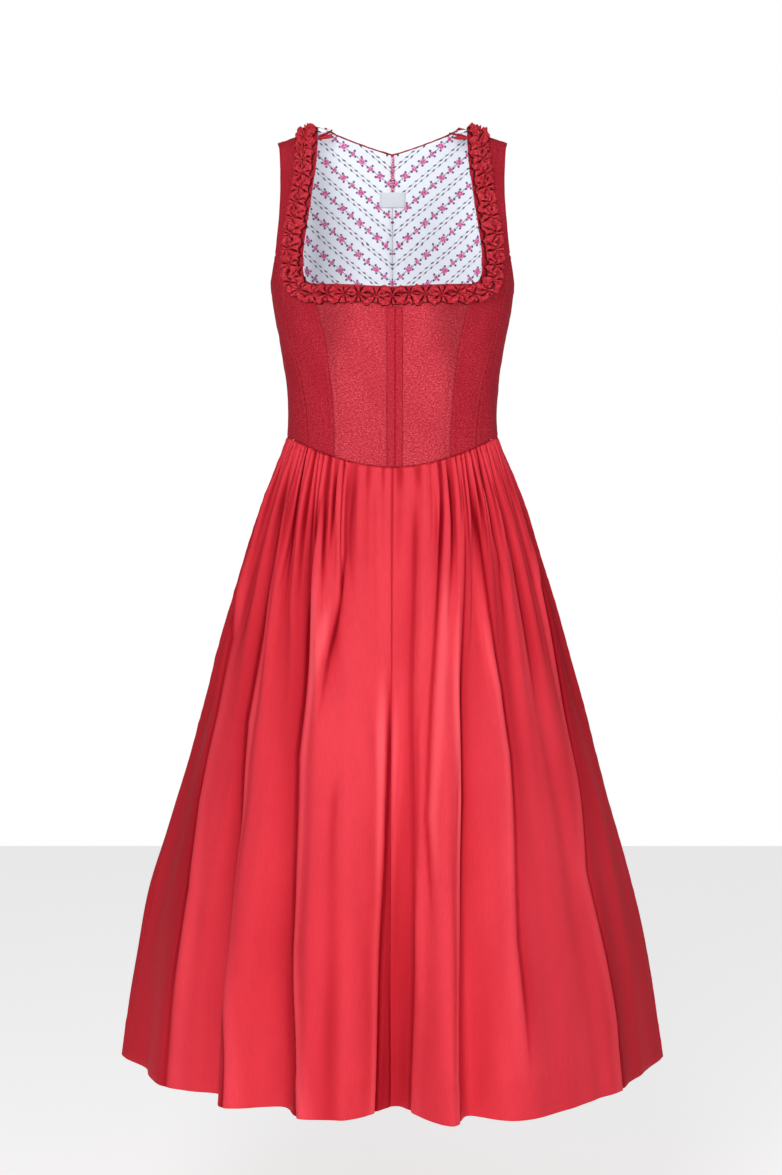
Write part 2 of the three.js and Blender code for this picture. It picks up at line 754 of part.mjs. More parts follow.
function skirtPoint(count, side, down) {
  const start = side * gatherTurn(count);
  const seat = onWaist(start);
  const front = Math.cos(degrees(start)) > 0;
  const out = between(FLARE, "down", "out", down);
  const turn = lerp(start, hemTurn(start), 1 - (1 - down) ** 2);
  const power = lerp(RING_POWER, HEM_POWER, smooth(0, 0.4, down));
  const half = lerp(section(seat.level, "half"), HEM.half, out);
  const depths = {
    front: lerp(section(seat.level, "front"), HEM.front, out),
    back: lerp(section(seat.level, "back"), HEM.back, out),
  };
  const depth = Math.cos(degrees(turn)) > 0 ? depths.front : depths.back;
  const ring = ringPoint(half, depth, power, turn);
  const large = 1 + (foldBetween("reach", start) - 1) * down ** LARGE_FOLD_GROWTH;
  const outward = new THREE.Vector2(ring.x / half ** 2, ring.y / depth ** 2).normalize();
  const uneven = 1 + 0.35 * Math.sin(count * 2.3 + side + (front ? 0 : 1.7));
  const fine =
    GATHER.deep * (1 - smooth(GATHER.flatFrom, GATHER.flatTo, down)) * Math.cos(2 * Math.PI * count);
  const calm = smooth(2, 7, count) * smooth(2, 6, 2 * GATHERS_PER_QUARTER - count);
  const small =
    SMALL_FOLD.deep *
    smooth(0, SMALL_FOLD.fullAt, down) *
    lerp(1, SMALL_FOLD.left, smooth(SMALL_FOLD.fadeFrom, 1, down)) *
    uneven *
    lerp(0.25, 1, calm) *
    Math.cos((2 * Math.PI * count) / GATHER.perFold);
  const height = lerp(waistHeight(start) - SKIRT_DROP, HEM_HEIGHT, down);
  const rise = fine + small;
  return new THREE.Vector3(
    ring.x * large + outward.x * rise,
    ring.y * large + outward.y * rise,
    height,
  );
}

function skirtPlace(count, side, down) {
  const [e, h] = [0.12, 0.008];
  const clampCount = (c) => Math.min(2 * GATHERS_PER_QUARTER, Math.max(0, c));
  const [c0, c1] = [clampCount(count - e), clampCount(count + e)];
  const [d0, d1] = [Math.max(0, down - h), Math.min(1, down + h)];
  const across = skirtPoint(c1, side, down).sub(skirtPoint(c0, side, down));
  const along = skirtPoint(count, side, d1).sub(skirtPoint(count, side, d0));
  const normal = along.cross(across).multiplyScalar(side).normalize();
  return { place: skirtPoint(count, side, down), normal };
}

// A quarter of the skirt: fine columns down to where the gathers end, then half as many.
function skirtSheet(first, side) {
  const last = first + GATHERS_PER_QUARTER;
  const columns = GATHERS_PER_QUARTER * GATHER.columns;
  const points = [];
  const faces = [];
  const addRow = (down, count) => {
    const start = points.length;
    for (let i = 0; i <= count; i++) {
      const p = skirtPlace(lerp(first, last, i / count), side, down);
      const toward = i === 0 ? 1 : i === count ? -1 : 0;
      if (toward) {
        const next = skirtPoint(lerp(first, last, (i + toward) / count), side, down);
        p.place.addScaledVector(next.sub(p.place).normalize(), SEAM_GAP / 2);
      }
      points.push(p);
    }
    return start;
  };
  const face = (a, b, c) => faces.push(side > 0 ? [a, c, b] : [a, b, c]);
  let above = addRow(FINE_ROWS[0], columns);
  for (const down of FINE_ROWS.slice(1)) {
    const below = addRow(down, columns);
    for (let i = 0; i < columns; i++) {
      face(above + i, above + i + 1, below + i + 1);
      face(above + i, below + i + 1, below + i);
    }
    above = below;
  }
  const coarse = columns / 2;
  let below = addRow(MIDDLE_ROWS[0], coarse);
  for (let i = 0; i < coarse; i++) {
    face(above + 2 * i, above + 2 * i + 1, below + i);
    face(above + 2 * i + 1, below + i + 1, below + i);
    face(above + 2 * i + 1, above + 2 * i + 2, below + i + 1);
  }
  for (const down of MIDDLE_ROWS.slice(1)) {
    above = below;
    below = addRow(down, coarse);
    for (let i = 0; i < coarse; i++) {
      face(above + i, above + i + 1, below + i + 1);
      face(above + i, below + i + 1, below + i);
    }
  }
  return { points, faces };
}

// ---- The dress ----
const dress = new THREE.Group();
for (const [name, sheet] of Object.entries(outerPanels)) {
  dress.add(wall(name + "_left", COLOURS.bodice, sheet, 0, -OUTER_CLOTH));
  dress.add(wall(name + "_right", COLOURS.bodice, mirrored(sheet), 0, -OUTER_CLOTH));
}
for (const [name, sheet] of Object.entries(liningPanels)) {
  dress.add(wall(name + "_left", COLOURS.lining, sheet, LINING_OUT, LINING_IN));
  dress.add(wall(name + "_right", COLOURS.lining, mirrored(sheet), LINING_OUT, LINING_IN));
}
const placketTop = SEAM_GAP + PLACKET.cloth;
const [meetLeft, meetRight] = [PLACKET.meetX + SEAM_GAP / 2, PLACKET.meetX - SEAM_GAP / 2];
const strips = {
  placket_left: placketSheet(meetLeft, meetLeft + PLACKET.leftWide),
  placket_right: placketSheet(meetRight - PLACKET.rightWide, meetRight),
};
for (const [name, sheet] of Object.entries(strips)) {
  dress.add(wall(name, COLOURS.bodice, sheet, placketTop, SEAM_GAP));
}
const rucheTop = SEAM_GAP + RUCHE.base;
dress.add(wall("ruche_left", COLOURS.ruche, rucheSheet(), rucheTop, SEAM_GAP));
dress.add(wall("ruche_right", COLOURS.ruche, mirrored(rucheSheet()), rucheTop, SEAM_GAP));
const labelOut = LINING_IN - LABEL.gap;
dress.add(wall("label", COLOURS.label, labelSheet(), labelOut, labelOut - LABEL.cloth));
for (const [name, side] of [["left", 1], ["right", -1]]) {
  dress.add(wall("skirt_front_" + name, COLOURS.skirt, skirtSheet(0, side), 0, -SKIRT_CLOTH));
  dress.add(
    wall("skirt_back_" + name, COLOURS.skirt, skirtSheet(GATHERS_PER_QUARTER, side), 0, -SKIRT_CLOTH),
  );
}

export default dress;
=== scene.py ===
"""A sleeveless dirndl in its worn form, with no wearer: a lined bodice, a pinched ruche along
the square neckline and a gathered skirt. Millimetres inside the functions, metres in the meshes.
The dress faces -Y and +X is the wearer's left."""

import math
import random

import bpy
import numpy as np
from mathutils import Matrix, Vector


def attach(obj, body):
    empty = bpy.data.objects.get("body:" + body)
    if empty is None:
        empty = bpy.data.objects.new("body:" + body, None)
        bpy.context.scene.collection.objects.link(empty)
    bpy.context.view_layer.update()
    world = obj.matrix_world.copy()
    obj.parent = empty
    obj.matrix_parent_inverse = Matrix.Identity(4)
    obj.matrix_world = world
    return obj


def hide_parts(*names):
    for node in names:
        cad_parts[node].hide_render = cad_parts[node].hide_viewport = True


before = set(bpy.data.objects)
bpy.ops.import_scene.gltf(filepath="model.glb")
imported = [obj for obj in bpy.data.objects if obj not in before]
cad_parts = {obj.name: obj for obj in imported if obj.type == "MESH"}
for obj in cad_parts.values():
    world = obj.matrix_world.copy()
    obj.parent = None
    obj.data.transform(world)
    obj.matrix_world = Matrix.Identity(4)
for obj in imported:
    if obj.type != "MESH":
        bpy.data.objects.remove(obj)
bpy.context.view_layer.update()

# ---- Sizes, as in the part's source ----
BODICE_CLOTH = 1.5
LINING_CLOTH = 1.0
LINING_GAP = 0.8
SKIRT_CLOTH = 1.1
RING_POWER = 2.4
WAIST = {"side": -366, "point": 41, "back": 8, "power": 1.8, "skirt": 0.7}
HEM = {"height": -1120, "half": 329, "front": 310, "back": 300}
SHOULDER = {"rise": 9, "slope": 0.34, "inner": 91, "flat": 70, "fade": 90, "tip": 139.5}
BUST = {"x": 62, "height": -212, "wide": 38, "tall": 42, "out": 7.5}
BACK_NECK = {"drop": -12.7, "rise": 25.6, "half": 84, "power": 1.15}
SECTION = {
    "height": [0, -3, -14, -45, -90, -135, -184, -215, -265, -300, -340, -375, -420],
    "half": [152, 152, 151.5, 150.5, 149.5, 148.5, 148, 143.5, 134.5, 129, 126.8, 129.5, 138],
    "front": [0, 14, 34, 64, 88, 104, 113, 114, 107, 100, 95, 95.5, 98],
    "back": [0, 13, 31, 58, 82, 96, 101, 99, 91, 84, 79, 80, 88],
}
LAST_LEVEL = len(SECTION["height"]) - 1
LEVEL_STRETCH = 14  # degrees that one level counts for along a curve on the body

# Seams and edges: (x, height) on the front or the back.
NECKLINE = [(92, -192.6), (100.5, -189), (105.3, -180), (106.5, -165), (105.9, -150),
            (99.6, -104), (95.3, -71), (91.6, -38)]
FRONT_PRINCESS = [(72.5, -315), (80.5, -256), (87.5, -226), (92, -192.6)]
SIDE_FRONT = [(106.5, -315), (125, -240), (135, -190), (140.5, -150)]
FRONT_ARMHOLE = [(140.5, -150), (137.4, -122), (134.9, -90), (134.6, -60), (136.4, -28)]
FRONT_UNDERARM = [(140.5, -150), (145.2, -172)]
BACK_PRINCESS = [(62, -315), (78, -250), (104, -180), (127, -127), (138, -108)]
BACK_ARMHOLE = [(138, -108), (135.6, -80), (135.2, -55), (136.8, -28)]
BACK_UNDERARM = [(141.8, -140), (146, -170)]

# Inner and outer edge of the ruche, from the shoulder to the centre front.
RUCHE_INNER = [(94.5, 7.5), (95.5, -36), (98.5, -71), (103, -104), (108.8, -148), (109.6, -167),
               (106, -184.5), (96, -193), (77.5, -196), (40, -198), (0, -199.3)]
RUCHE_OUTER = [(114, 1), (115.5, -38), (118.5, -72), (123.5, -105), (128, -147), (128, -172),
               (120.5, -198), (104, -211.5), (81, -215.5), (41, -217.5), (0, -219)]

# The skirt's outline going down, its gathers and its large folds.
FLARE = ([0, 0.1, 0.3, 0.5, 0.7, 0.85, 1], [0, 0.128, 0.366, 0.58, 0.792, 0.915, 1])
GATHERS = ([0, 5, 15, 21, 28, 37, 42], [0, 28, 62, 90, 122, 156, 180])
QUARTER = 21
# Start at the waist and end at the hem in degrees from the centre front, and the reach there.
LARGE_FOLDS = [
    (-180, -180, 0.93), (-163, -166, 1.07), (-147, -148, 0.95), (-134, -132, 1.06),
    (-122, -117, 0.94), (-97, -97, 1.02), (-79, -75, 0.92), (-67, -58, 0.96),
    (-57, -43, 0.88), (-49, -33.5, 1.03), (-41, -24, 0.915), (-33, -15, 1.06),
    (-22, -9.5, 1.055), (3, 0.8, 0.83), (26, 9.8, 1.14), (33, 13.8, 1.0), (40, 20.5, 1.12),
    (57, 46, 1.0), (75, 69, 0.94), (92, 91, 0.995), (107, 105, 0.94), (121, 119, 1.05),
    (135, 134, 0.93), (150, 151, 1.07), (165, 166, 0.96), (172, 173, 1.03), (180, 180, 0.93),
]


# ---- Interpolation ----
def smooth(start, end, value):
    t = np.clip((value - start) / (end - start), 0, 1)
    return t * t * (3 - 2 * t)


def bell(value, wide):
    return np.exp(-((value / wide) ** 2))


def between(keys, values, at):
    """A smooth curve through table rows."""
    keys, values, at = (np.asarray(a, float) for a in (keys, values, at))
    i = np.clip(np.searchsorted(keys[1:], at, side="left"), 0, len(keys) - 2)
    before, after = np.maximum(0, i - 1), np.minimum(len(keys) - 1, i + 2)
    run = keys[i + 1] - keys[i]
    t = np.clip((at - keys[i]) / run, 0, 1)
    slope_a = (values[i + 1] - values[before]) / (keys[i + 1] - keys[before]) * run
    slope_b = (values[after] - values[i]) / (keys[after] - keys[i]) * run
    t2, t3 = t * t, t * t * t
    return (values[i] * (2 * t3 - 3 * t2 + 1) + slope_a * (t3 - 2 * t2 + t)
            + values[i + 1] * (3 * t2 - 2 * t3) + slope_b * (t3 - t2))


def spline(points):
    """A centripetal curve through 2-D points, as a function of the share of its knots."""
    p = np.asarray(points, float)
    p = np.vstack([2 * p[0] - p[1], p, 2 * p[-1] - p[-2]])
    last = len(points) - 1

    def at(share):
        place = np.clip(np.asarray(share, float), 0, 1) * last
        i = np.minimum(place.astype(int), last - 1)
        t = (place - i)[..., None]
        a, b, c, d = (p[i + k] for k in range(4))
        before, here, after = (np.sqrt(np.linalg.norm(q - r, axis=-1))[..., None]
                               for q, r in ((b, a), (c, b), (d, c)))
        s1 = ((b - a) / before - (c - a) / (before + here) + (c - b) / here) * here
        s2 = ((c - b) / here - (d - b) / (here + after) + (d - c) / after) * here
        return (b + s1 * t + (-3 * b + 3 * c - 2 * s1 - s2) * t ** 2
                + (2 * b - 2 * c + s1 + s2) * t ** 3)

    return at


def evenly(curve, samples=200):
    """The same curve by its share of length."""
    knots = np.linspace(0, 1, samples + 1)
    steps = np.linalg.norm(np.diff(curve(knots), axis=0), axis=1)
    run = np.concatenate([[0], np.cumsum(steps)])
    return lambda share: curve(np.interp(np.clip(share, 0, 1) * run[-1], run, knots))


# ---- The body's surface: turn in degrees from the centre front, level in rows of SECTION ----
def section(level, column):
    return between(np.arange(LAST_LEVEL + 1), SECTION[column], level)


def ring(half, depth, power, turn):
    a = np.radians(turn)
    s, c = np.sin(a), np.cos(a)
    return (np.sign(s) * half * np.abs(s) ** (2 / power),
            -np.sign(c) * depth * np.abs(c) ** (2 / power))


def body(turn, level):
    turn, level = np.broadcast_arrays(np.asarray(turn, float), np.asarray(level, float))
    front = np.cos(np.radians(turn)) > 0
    depth = np.where(front, section(level, "front"), section(level, "back"))
    x, y = ring(section(level, "half"), depth, RING_POWER, turn)
    base = section(level, "height")
    inward = SHOULDER["inner"] - np.maximum(np.abs(x), SHOULDER["flat"])
    rise = SHOULDER["rise"] + SHOULDER["slope"] * inward
    height = base + rise * np.clip(1 + base / SHOULDER["fade"], 0, 1)
    bust = np.where(front, BUST["out"] * np.cos(np.radians(turn)), 0)
    bust = bust * bell(np.abs(x) - BUST["x"], BUST["wide"]) * bell(height - BUST["height"], BUST["tall"])
    return np.stack([x, y - bust, height], axis=-1)


def body_normal(turn, level, turn_step=0.6, step=0.03):
    turn, level = np.broadcast_arrays(np.asarray(turn, float), np.asarray(level, float))
    safe = np.maximum(level, step)
    across = body(turn + turn_step, safe) - body(turn - turn_step, safe)
    along = body(turn, np.maximum(0, level - step)) - body(turn, np.minimum(LAST_LEVEL, level + step))
    normal = np.cross(across, along)
    flat = (level < 0.01) | (np.abs(np.abs(turn) - 90) < 0.01)
    normal[..., 1] = np.where(flat, 0, normal[..., 1])
    return normal / np.linalg.norm(normal, axis=-1, keepdims=True)


def level_at(height, turn_at, halvings=36):
    """The level at a height, where the turn there is `turn_at(level)`."""
    height = np.asarray(height, float)
    low, high = np.zeros(height.shape), np.full(height.shape, float(LAST_LEVEL))
    for _ in range(halvings):
        middle = (low + high) / 2
        above = body(turn_at(middle), middle)[..., 2] > height
        low, high = np.where(above, middle, low), np.where(above, high, middle)
    return (low + high) / 2


def on_body(x, height, front=True):
    """(turn, level) of a point of the front or back with x >= 0."""
    x, height = np.broadcast_arrays(np.asarray(x, float), np.asarray(height, float))

    def turn_at(level):
        share = np.clip(x / section(level, "half"), 0, 1)
        turn = np.degrees(np.arcsin(share ** (RING_POWER / 2)))
        return turn if front else 180 - turn

    level = level_at(height, turn_at)
    return np.stack([turn_at(level), level], axis=-1)


def waist_height(turn):
    share = np.abs(np.sin(np.radians(turn))) ** (2 / RING_POWER)
    return np.where(np.cos(np.radians(turn)) > 0,
                    WAIST["side"] - WAIST["point"] * (1 - share ** WAIST["power"]),
                    WAIST["side"] - WAIST["back"] * (1 - share))


def on_waist(turn):
    turn = np.asarray(turn, float)
    return np.stack([turn, level_at(waist_height(turn), lambda level: turn)], axis=-1)


def curve_through(points):
    stretch = np.array([1, LEVEL_STRETCH])
    curve = evenly(spline(np.asarray(points) * stretch))
    return lambda share: curve(share) / stretch


# ---- Uneven surfaces ----
WAVES = 7


def ripple(seed, places, size):
    """Soft uneven waves about `size` mm long, between about -1 and 1."""
    dice = random.Random(seed)
    total = np.zeros(places.shape[:-1])
    for _ in range(WAVES):
        way = Vector([dice.gauss(0, 1) for _ in range(3)]).normalized()
        step = 2 * math.pi / (size * dice.uniform(0.7, 1.5))
        total += np.sin(places @ np.array(way) * step + dice.uniform(0, 2 * math.pi))
    return total / math.sqrt(WAVES)


def spread(count, crowd=0.7):
    """Shares from 0 to 1, closer together at both ends."""
    t = np.linspace(0, 1, count)
    return t - crowd * np.sin(2 * math.pi * t) / (2 * math.pi)


def runs(places, axis):
    """Length run along a grid's rows or columns, from either end."""
    steps = np.linalg.norm(np.diff(places, axis=axis), axis=-1)
    start = np.zeros_like(np.take(steps, [0], axis=axis))
    run = np.concatenate([start, np.cumsum(steps, axis=axis)], axis=axis)
    return run, np.take(run, [-1], axis=axis) - run


# ---- Meshes ----
SIDE_WORDS = ((1, "left"), (-1, "right"))


def add_mesh(name, places, faces, material, uv=None, painted_shade=None):
    """A piece in metres; the last argument is painted shade: how far each point's colour is darkened for
    shade in folds, seams and under edges, and, below zero, lightened as a painted highlight.
    """
    mesh = bpy.data.meshes.new(name)
    mesh.from_pydata((np.asarray(places) / 1000).tolist(), [], faces)
    mesh.polygons.foreach_set("use_smooth", np.ones(len(mesh.polygons), dtype=bool))
    if uv is not None:
        layer = mesh.uv_layers.new(name="cloth")
        corners = np.empty(len(mesh.loops), dtype=np.int32)
        mesh.loops.foreach_get("vertex_index", corners)
        layer.data.foreach_set("uv", (np.asarray(uv)[corners] / 1000).astype(np.float32).ravel())
    if painted_shade is not None:
        attribute = mesh.attributes.new("painted_shade", "FLOAT", "POINT")
        attribute.data.foreach_set("value", np.broadcast_to(painted_shade, len(places)).astype(np.float32))
    mesh.materials.append(material)
    mesh.update()
    made = bpy.data.objects.new(name + "_cloth", mesh)
    bpy.context.scene.collection.objects.link(made)
    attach(made, "root")
    return made


def grid_faces(rows, columns, first=0, turned=False):
    a = first + np.arange(rows - 1)[:, None] * columns + np.arange(columns - 1)
    quads = np.stack([a, a + 1, a + columns + 1, a + columns], axis=-1).reshape(-1, 4)
    return (quads[:, ::-1] if turned else quads).tolist()


def shell_parts(top, under, uv, bulge=0.35):
    """A closed thin cloth between two grids, with a rounded rim."""
    rows, columns = top.shape[:2]
    count = rows * columns
    last_row, last = rows - 1, columns - 1
    loop = [(0, i) for i in range(columns)] + [(j, last) for j in range(1, rows)]
    loop += [(last_row, i) for i in range(last)[::-1]] + [(j, 0) for j in range(1, last_row)[::-1]]
    j, i = np.array(loop).T
    inner_j, inner_i = np.clip(j, 1, rows - 2), np.clip(i, 1, columns - 2)
    away = top[j, i] - top[inner_j, inner_i]
    away /= np.maximum(np.linalg.norm(away, axis=-1, keepdims=True), 1e-9)
    thick = np.linalg.norm(top[j, i] - under[j, i], axis=-1, keepdims=True)
    rim = (top[j, i] + under[j, i]) / 2 + away * thick * bulge
    places = np.vstack([top.reshape(-1, 3), under.reshape(-1, 3), rim])
    p = j * columns + i
    q, m = np.roll(p, -1), 2 * count + np.arange(len(loop))
    n = np.roll(m, -1)
    faces = grid_faces(rows, columns) + grid_faces(rows, columns, count, True)
    faces += np.stack([q, p, m, n], axis=-1).tolist()
    faces += np.stack([n, m, p + count, q + count], axis=-1).tolist()
    flat = uv.reshape(-1, 2)
    return places, faces, np.vstack([flat, flat, flat[p]])


def mirrored(grid):
    return grid[:, ::-1] * np.array([-1, 1, 1])


def add_shell(name, top, under, uv, material, bulge=0.35, painted_shade=None, side=1):
    """A shell as a piece; for side -1, what is drawn for the wearer's left is mirrored."""
    if side < 0:
        top, under, uv = mirrored(top), mirrored(under), uv[:, ::-1]
        painted_shade = None if painted_shade is None else painted_shade[:, ::-1]
    places, faces, uvs = shell_parts(top, under, uv, bulge)
    if painted_shade is not None:
        painted_shade = np.pad(painted_shade.ravel(), (0, len(places) - painted_shade.size))
    return add_mesh(name, places, faces, material, uvs, painted_shade)


def tube(path, radius, ring_size=8):
    """A cord along a path; radius is one number or one a point."""
    path = np.asarray(path, float)
    count = len(path)
    ahead = np.gradient(path, axis=0)
    ahead /= np.maximum(np.linalg.norm(ahead, axis=1, keepdims=True), 1e-9)
    across = np.cross(ahead, np.where(np.abs(ahead[:, [2]]) > 0.9, [[0, 1, 0]], [[0, 0, 1]]))
    across /= np.linalg.norm(across, axis=1, keepdims=True)
    for k in range(1, count):
        if across[k] @ across[k - 1] < 0:
            across[k] *= -1
    other = np.cross(ahead, across)
    angle = np.linspace(0, 2 * math.pi, ring_size, endpoint=False)
    reach = np.broadcast_to(np.asarray(radius, float), (count,))[:, None, None]
    rings = path[:, None] + reach * (np.cos(angle)[None, :, None] * across[:, None]
                                     + np.sin(angle)[None, :, None] * other[:, None])
    faces = [(j * ring_size + i, j * ring_size + n, (j + 1) * ring_size + n, (j + 1) * ring_size + i)
             for j in range(count - 1) for i in range(ring_size) for n in ((i + 1) % ring_size,)]
    faces.append(tuple(range(ring_size - 1, -1, -1)))
    faces.append(tuple((count - 1) * ring_size + i for i in range(ring_size)))
    return rings.reshape(-1, 3), faces


def joined(parts):
    """Many small (places, faces) parts as one."""
    places, faces, first = [], [], 0
    for p, f in parts:
        places.append(p)
        faces += [tuple(i + first for i in face) for face in f]
        first += len(p)
    return np.vstack(places), faces


# ---- Bodice patches between four edges on the body ----
def waist_turn(x, front=True):
    return float(on_body(x, WAIST["side"], front)[0])


def points(rows, front=True):
    return on_body(*np.transpose(rows), front)


ABOVE = 99  # any height above the shoulder seams
NECK_SHARE = 4 / 7  # of the back's top edge; the rest is the shoulder
PRINCESS_TURN, SIDE_FRONT_TURN, BACK_PRINCESS_TURN = waist_turn(67), waist_turn(99), waist_turn(55, False)
neck_corner = on_body(*NECKLINE[0])
neck_centre = np.array([0, on_body(0, -198)[1]])
armhole_join = on_body(*SIDE_FRONT[-1])
underarm = np.array([90, on_body(148, -184)[1]])
back_join = on_body(*BACK_PRINCESS[-1], False)
shoulder_inner, shoulder_tip = points([(SHOULDER["inner"], ABOVE), (SHOULDER["tip"], ABOVE)])
back_inner, back_tip = points([(BACK_NECK["half"], ABOVE), (SHOULDER["tip"], ABOVE)], False)
break_point = on_body(0, -118, False)

EDGE = {
    "centre_front": curve_through([on_waist(0), neck_centre]),
    "princess": curve_through([on_waist(PRINCESS_TURN), *points(FRONT_PRINCESS)]),
    "side_front": curve_through([on_waist(SIDE_FRONT_TURN), *points(SIDE_FRONT)]),
    "side": curve_through([on_waist(90), underarm]),
    "neckline": curve_through([*points(NECKLINE), shoulder_inner]),
    "front_armhole": curve_through([*points(FRONT_ARMHOLE), shoulder_tip]),
    "front_underarm": curve_through([*points(FRONT_UNDERARM), underarm]),
    "neck_bottom": curve_through([neck_centre, neck_corner]),
    "strap_foot": curve_through([neck_corner, armhole_join]),
    "front_shoulder": curve_through([shoulder_inner, shoulder_tip]),
    "back_princess": curve_through([on_waist(BACK_PRINCESS_TURN), *points(BACK_PRINCESS, False)]),
    "back_armhole": curve_through([*points(BACK_ARMHOLE, False), back_tip]),
    "back_underarm": curve_through([back_join, *points(BACK_UNDERARM, False), underarm]),
    "break": curve_through([back_join, break_point]),
    "centre_back_low": curve_through([on_waist(180), break_point]),
}


def waist_edge(start, end):
    return lambda share: on_waist(start + (end - start) * np.asarray(share))


def back_neck_point(share):
    share = np.asarray(share, float)
    height = BACK_NECK["drop"] + BACK_NECK["rise"] * share ** BACK_NECK["power"]
    return on_body(BACK_NECK["half"] * share, np.where(share >= 1, ABOVE, height), False)


EDGE["centre_back_high"] = curve_through([break_point, back_neck_point(0)])


def back_top(share):
    share = 1 - np.asarray(share, float)
    neck = back_neck_point(np.clip(share / NECK_SHARE, 0, 1))
    along = np.clip((share - NECK_SHARE) / (1 - NECK_SHARE), 0, 1)[..., None]
    return np.where((share <= NECK_SHARE)[..., None], neck, back_inner + (back_tip - back_inner) * along)


PATCH = {
    "front_centre": ("centre_front", "princess", waist_edge(0, PRINCESS_TURN), "neck_bottom"),
    "front_low": ("princess", "side_front", waist_edge(PRINCESS_TURN, SIDE_FRONT_TURN), "strap_foot"),
    "front_strap": ("neckline", "front_armhole", "strap_foot", "front_shoulder"),
    "side": ("side_front", "side", waist_edge(SIDE_FRONT_TURN, 90), "front_underarm"),
    "back_side": ("side", "back_princess", waist_edge(90, BACK_PRINCESS_TURN),
                  lambda share: EDGE["back_underarm"](1 - share)),
    "back_low": ("back_princess", "centre_back_low", waist_edge(BACK_PRINCESS_TURN, 180), "break"),
    "back_high": ("back_armhole", "centre_back_high", "break", back_top),
}


def patch(name, across, up):
    """Turns and levels over a patch: rows go up, columns go round."""
    left, right, bottom, top = [EDGE[e] if isinstance(e, str) else e for e in PATCH[name]]
    u, v = across[None, :, None], up[:, None, None]
    l, r, b, t = left(up)[:, None], right(up)[:, None], bottom(across)[None], top(across)[None]
    ends = np.array([0.0, 1.0])
    (bl, tl), (br, tr) = left(ends), right(ends)
    return (b + (t - b) * v + l + (r - l) * u
            - ((bl + (br - bl) * u) * (1 - v) + (tl + (tr - tl) * u) * v))


# ---- Materials ----
class Shading:
    """A material's nodes, added by short calls."""

    def __init__(self, name, roughness, **constants):
        self.material = bpy.data.materials.new(name)
        self.material.use_nodes = True
        self.tree = self.material.node_tree
        self.shader = self.tree.nodes["Principled BSDF"]
        self.shader.inputs["Roughness"].default_value = roughness
        for key, value in constants.items():
            self.shader.inputs[key.replace("_", " ")].default_value = value

    def put(self, socket, value):
        if isinstance(value, bpy.types.NodeSocket):
            self.tree.links.new(value, socket)
        elif value is not None:
            socket.default_value = value

    def maths(self, operation, *values):
        node = self.tree.nodes.new("ShaderNodeMath")
        node.operation = operation
        for socket, value in zip(node.inputs, values):
            self.put(socket, value)
        return node.outputs[0]

    def add(self, a, b):
        return self.maths("ADD", a, b)

    def less(self, a, b):
        return self.maths("SUBTRACT", a, b)

    def times(self, a, b):
        return self.maths("MULTIPLY", a, b)

    def size(self, a):
        return self.maths("ABSOLUTE", a)

    def ramp(self, value, start, end, low=0.0, high=1.0):
        node = self.tree.nodes.new("ShaderNodeMapRange")
        node.interpolation_type = "SMOOTHSTEP"
        for socket, v in zip(node.inputs, (value, start, end, low, high)):
            self.put(socket, v)
        return node.outputs[0]

    def mix(self, factor, a, b, blend="MIX"):
        node = self.tree.nodes.new("ShaderNodeMix")
        node.data_type, node.blend_type = "RGBA", blend
        self.put(node.inputs[0], factor)
        for socket, v in zip(node.inputs[6:8], (a, b)):
            self.put(socket, v if isinstance(v, bpy.types.NodeSocket) else (*v, 1))
        return node.outputs[2]

    def cloth_uv(self, across=1000.0, up=1000.0):
        """Cloth coordinates, in millimetres unless scaled otherwise."""
        uv = self.tree.nodes.new("ShaderNodeUVMap")
        uv.uv_map = "cloth"
        scaled = self.tree.nodes.new("ShaderNodeVectorMath")
        scaled.operation = "MULTIPLY"
        scaled.inputs[1].default_value = (across, up, 1)
        self.tree.links.new(uv.outputs[0], scaled.inputs[0])
        return scaled.outputs[0]

    def split(self, vector):
        node = self.tree.nodes.new("ShaderNodeSeparateXYZ")
        self.tree.links.new(vector, node.inputs[0])
        return node.outputs[0], node.outputs[1]

    def noise(self, vector, scale=1.0, detail=2.0, rough=0.5):
        node = self.tree.nodes.new("ShaderNodeTexNoise")
        self.put(node.inputs["Vector"], vector)
        for key, v in (("Scale", scale), ("Detail", detail), ("Roughness", rough)):
            node.inputs[key].default_value = v
        return node.outputs[0]

    def value(self, name):
        node = self.tree.nodes.new("ShaderNodeAttribute")
        node.attribute_name = name
        return node.outputs["Fac"]

    def bump(self, height, strength, distance):
        node = self.tree.nodes.new("ShaderNodeBump")
        node.inputs["Strength"].default_value = strength
        node.inputs["Distance"].default_value = distance
        self.put(node.inputs["Height"], height)
        self.tree.links.new(node.outputs[0], self.shader.inputs["Normal"])

    def colour(self, value):
        self.put(self.shader.inputs["Base Color"], value)
        return self.material


FLECK = 1.9  # millimetres


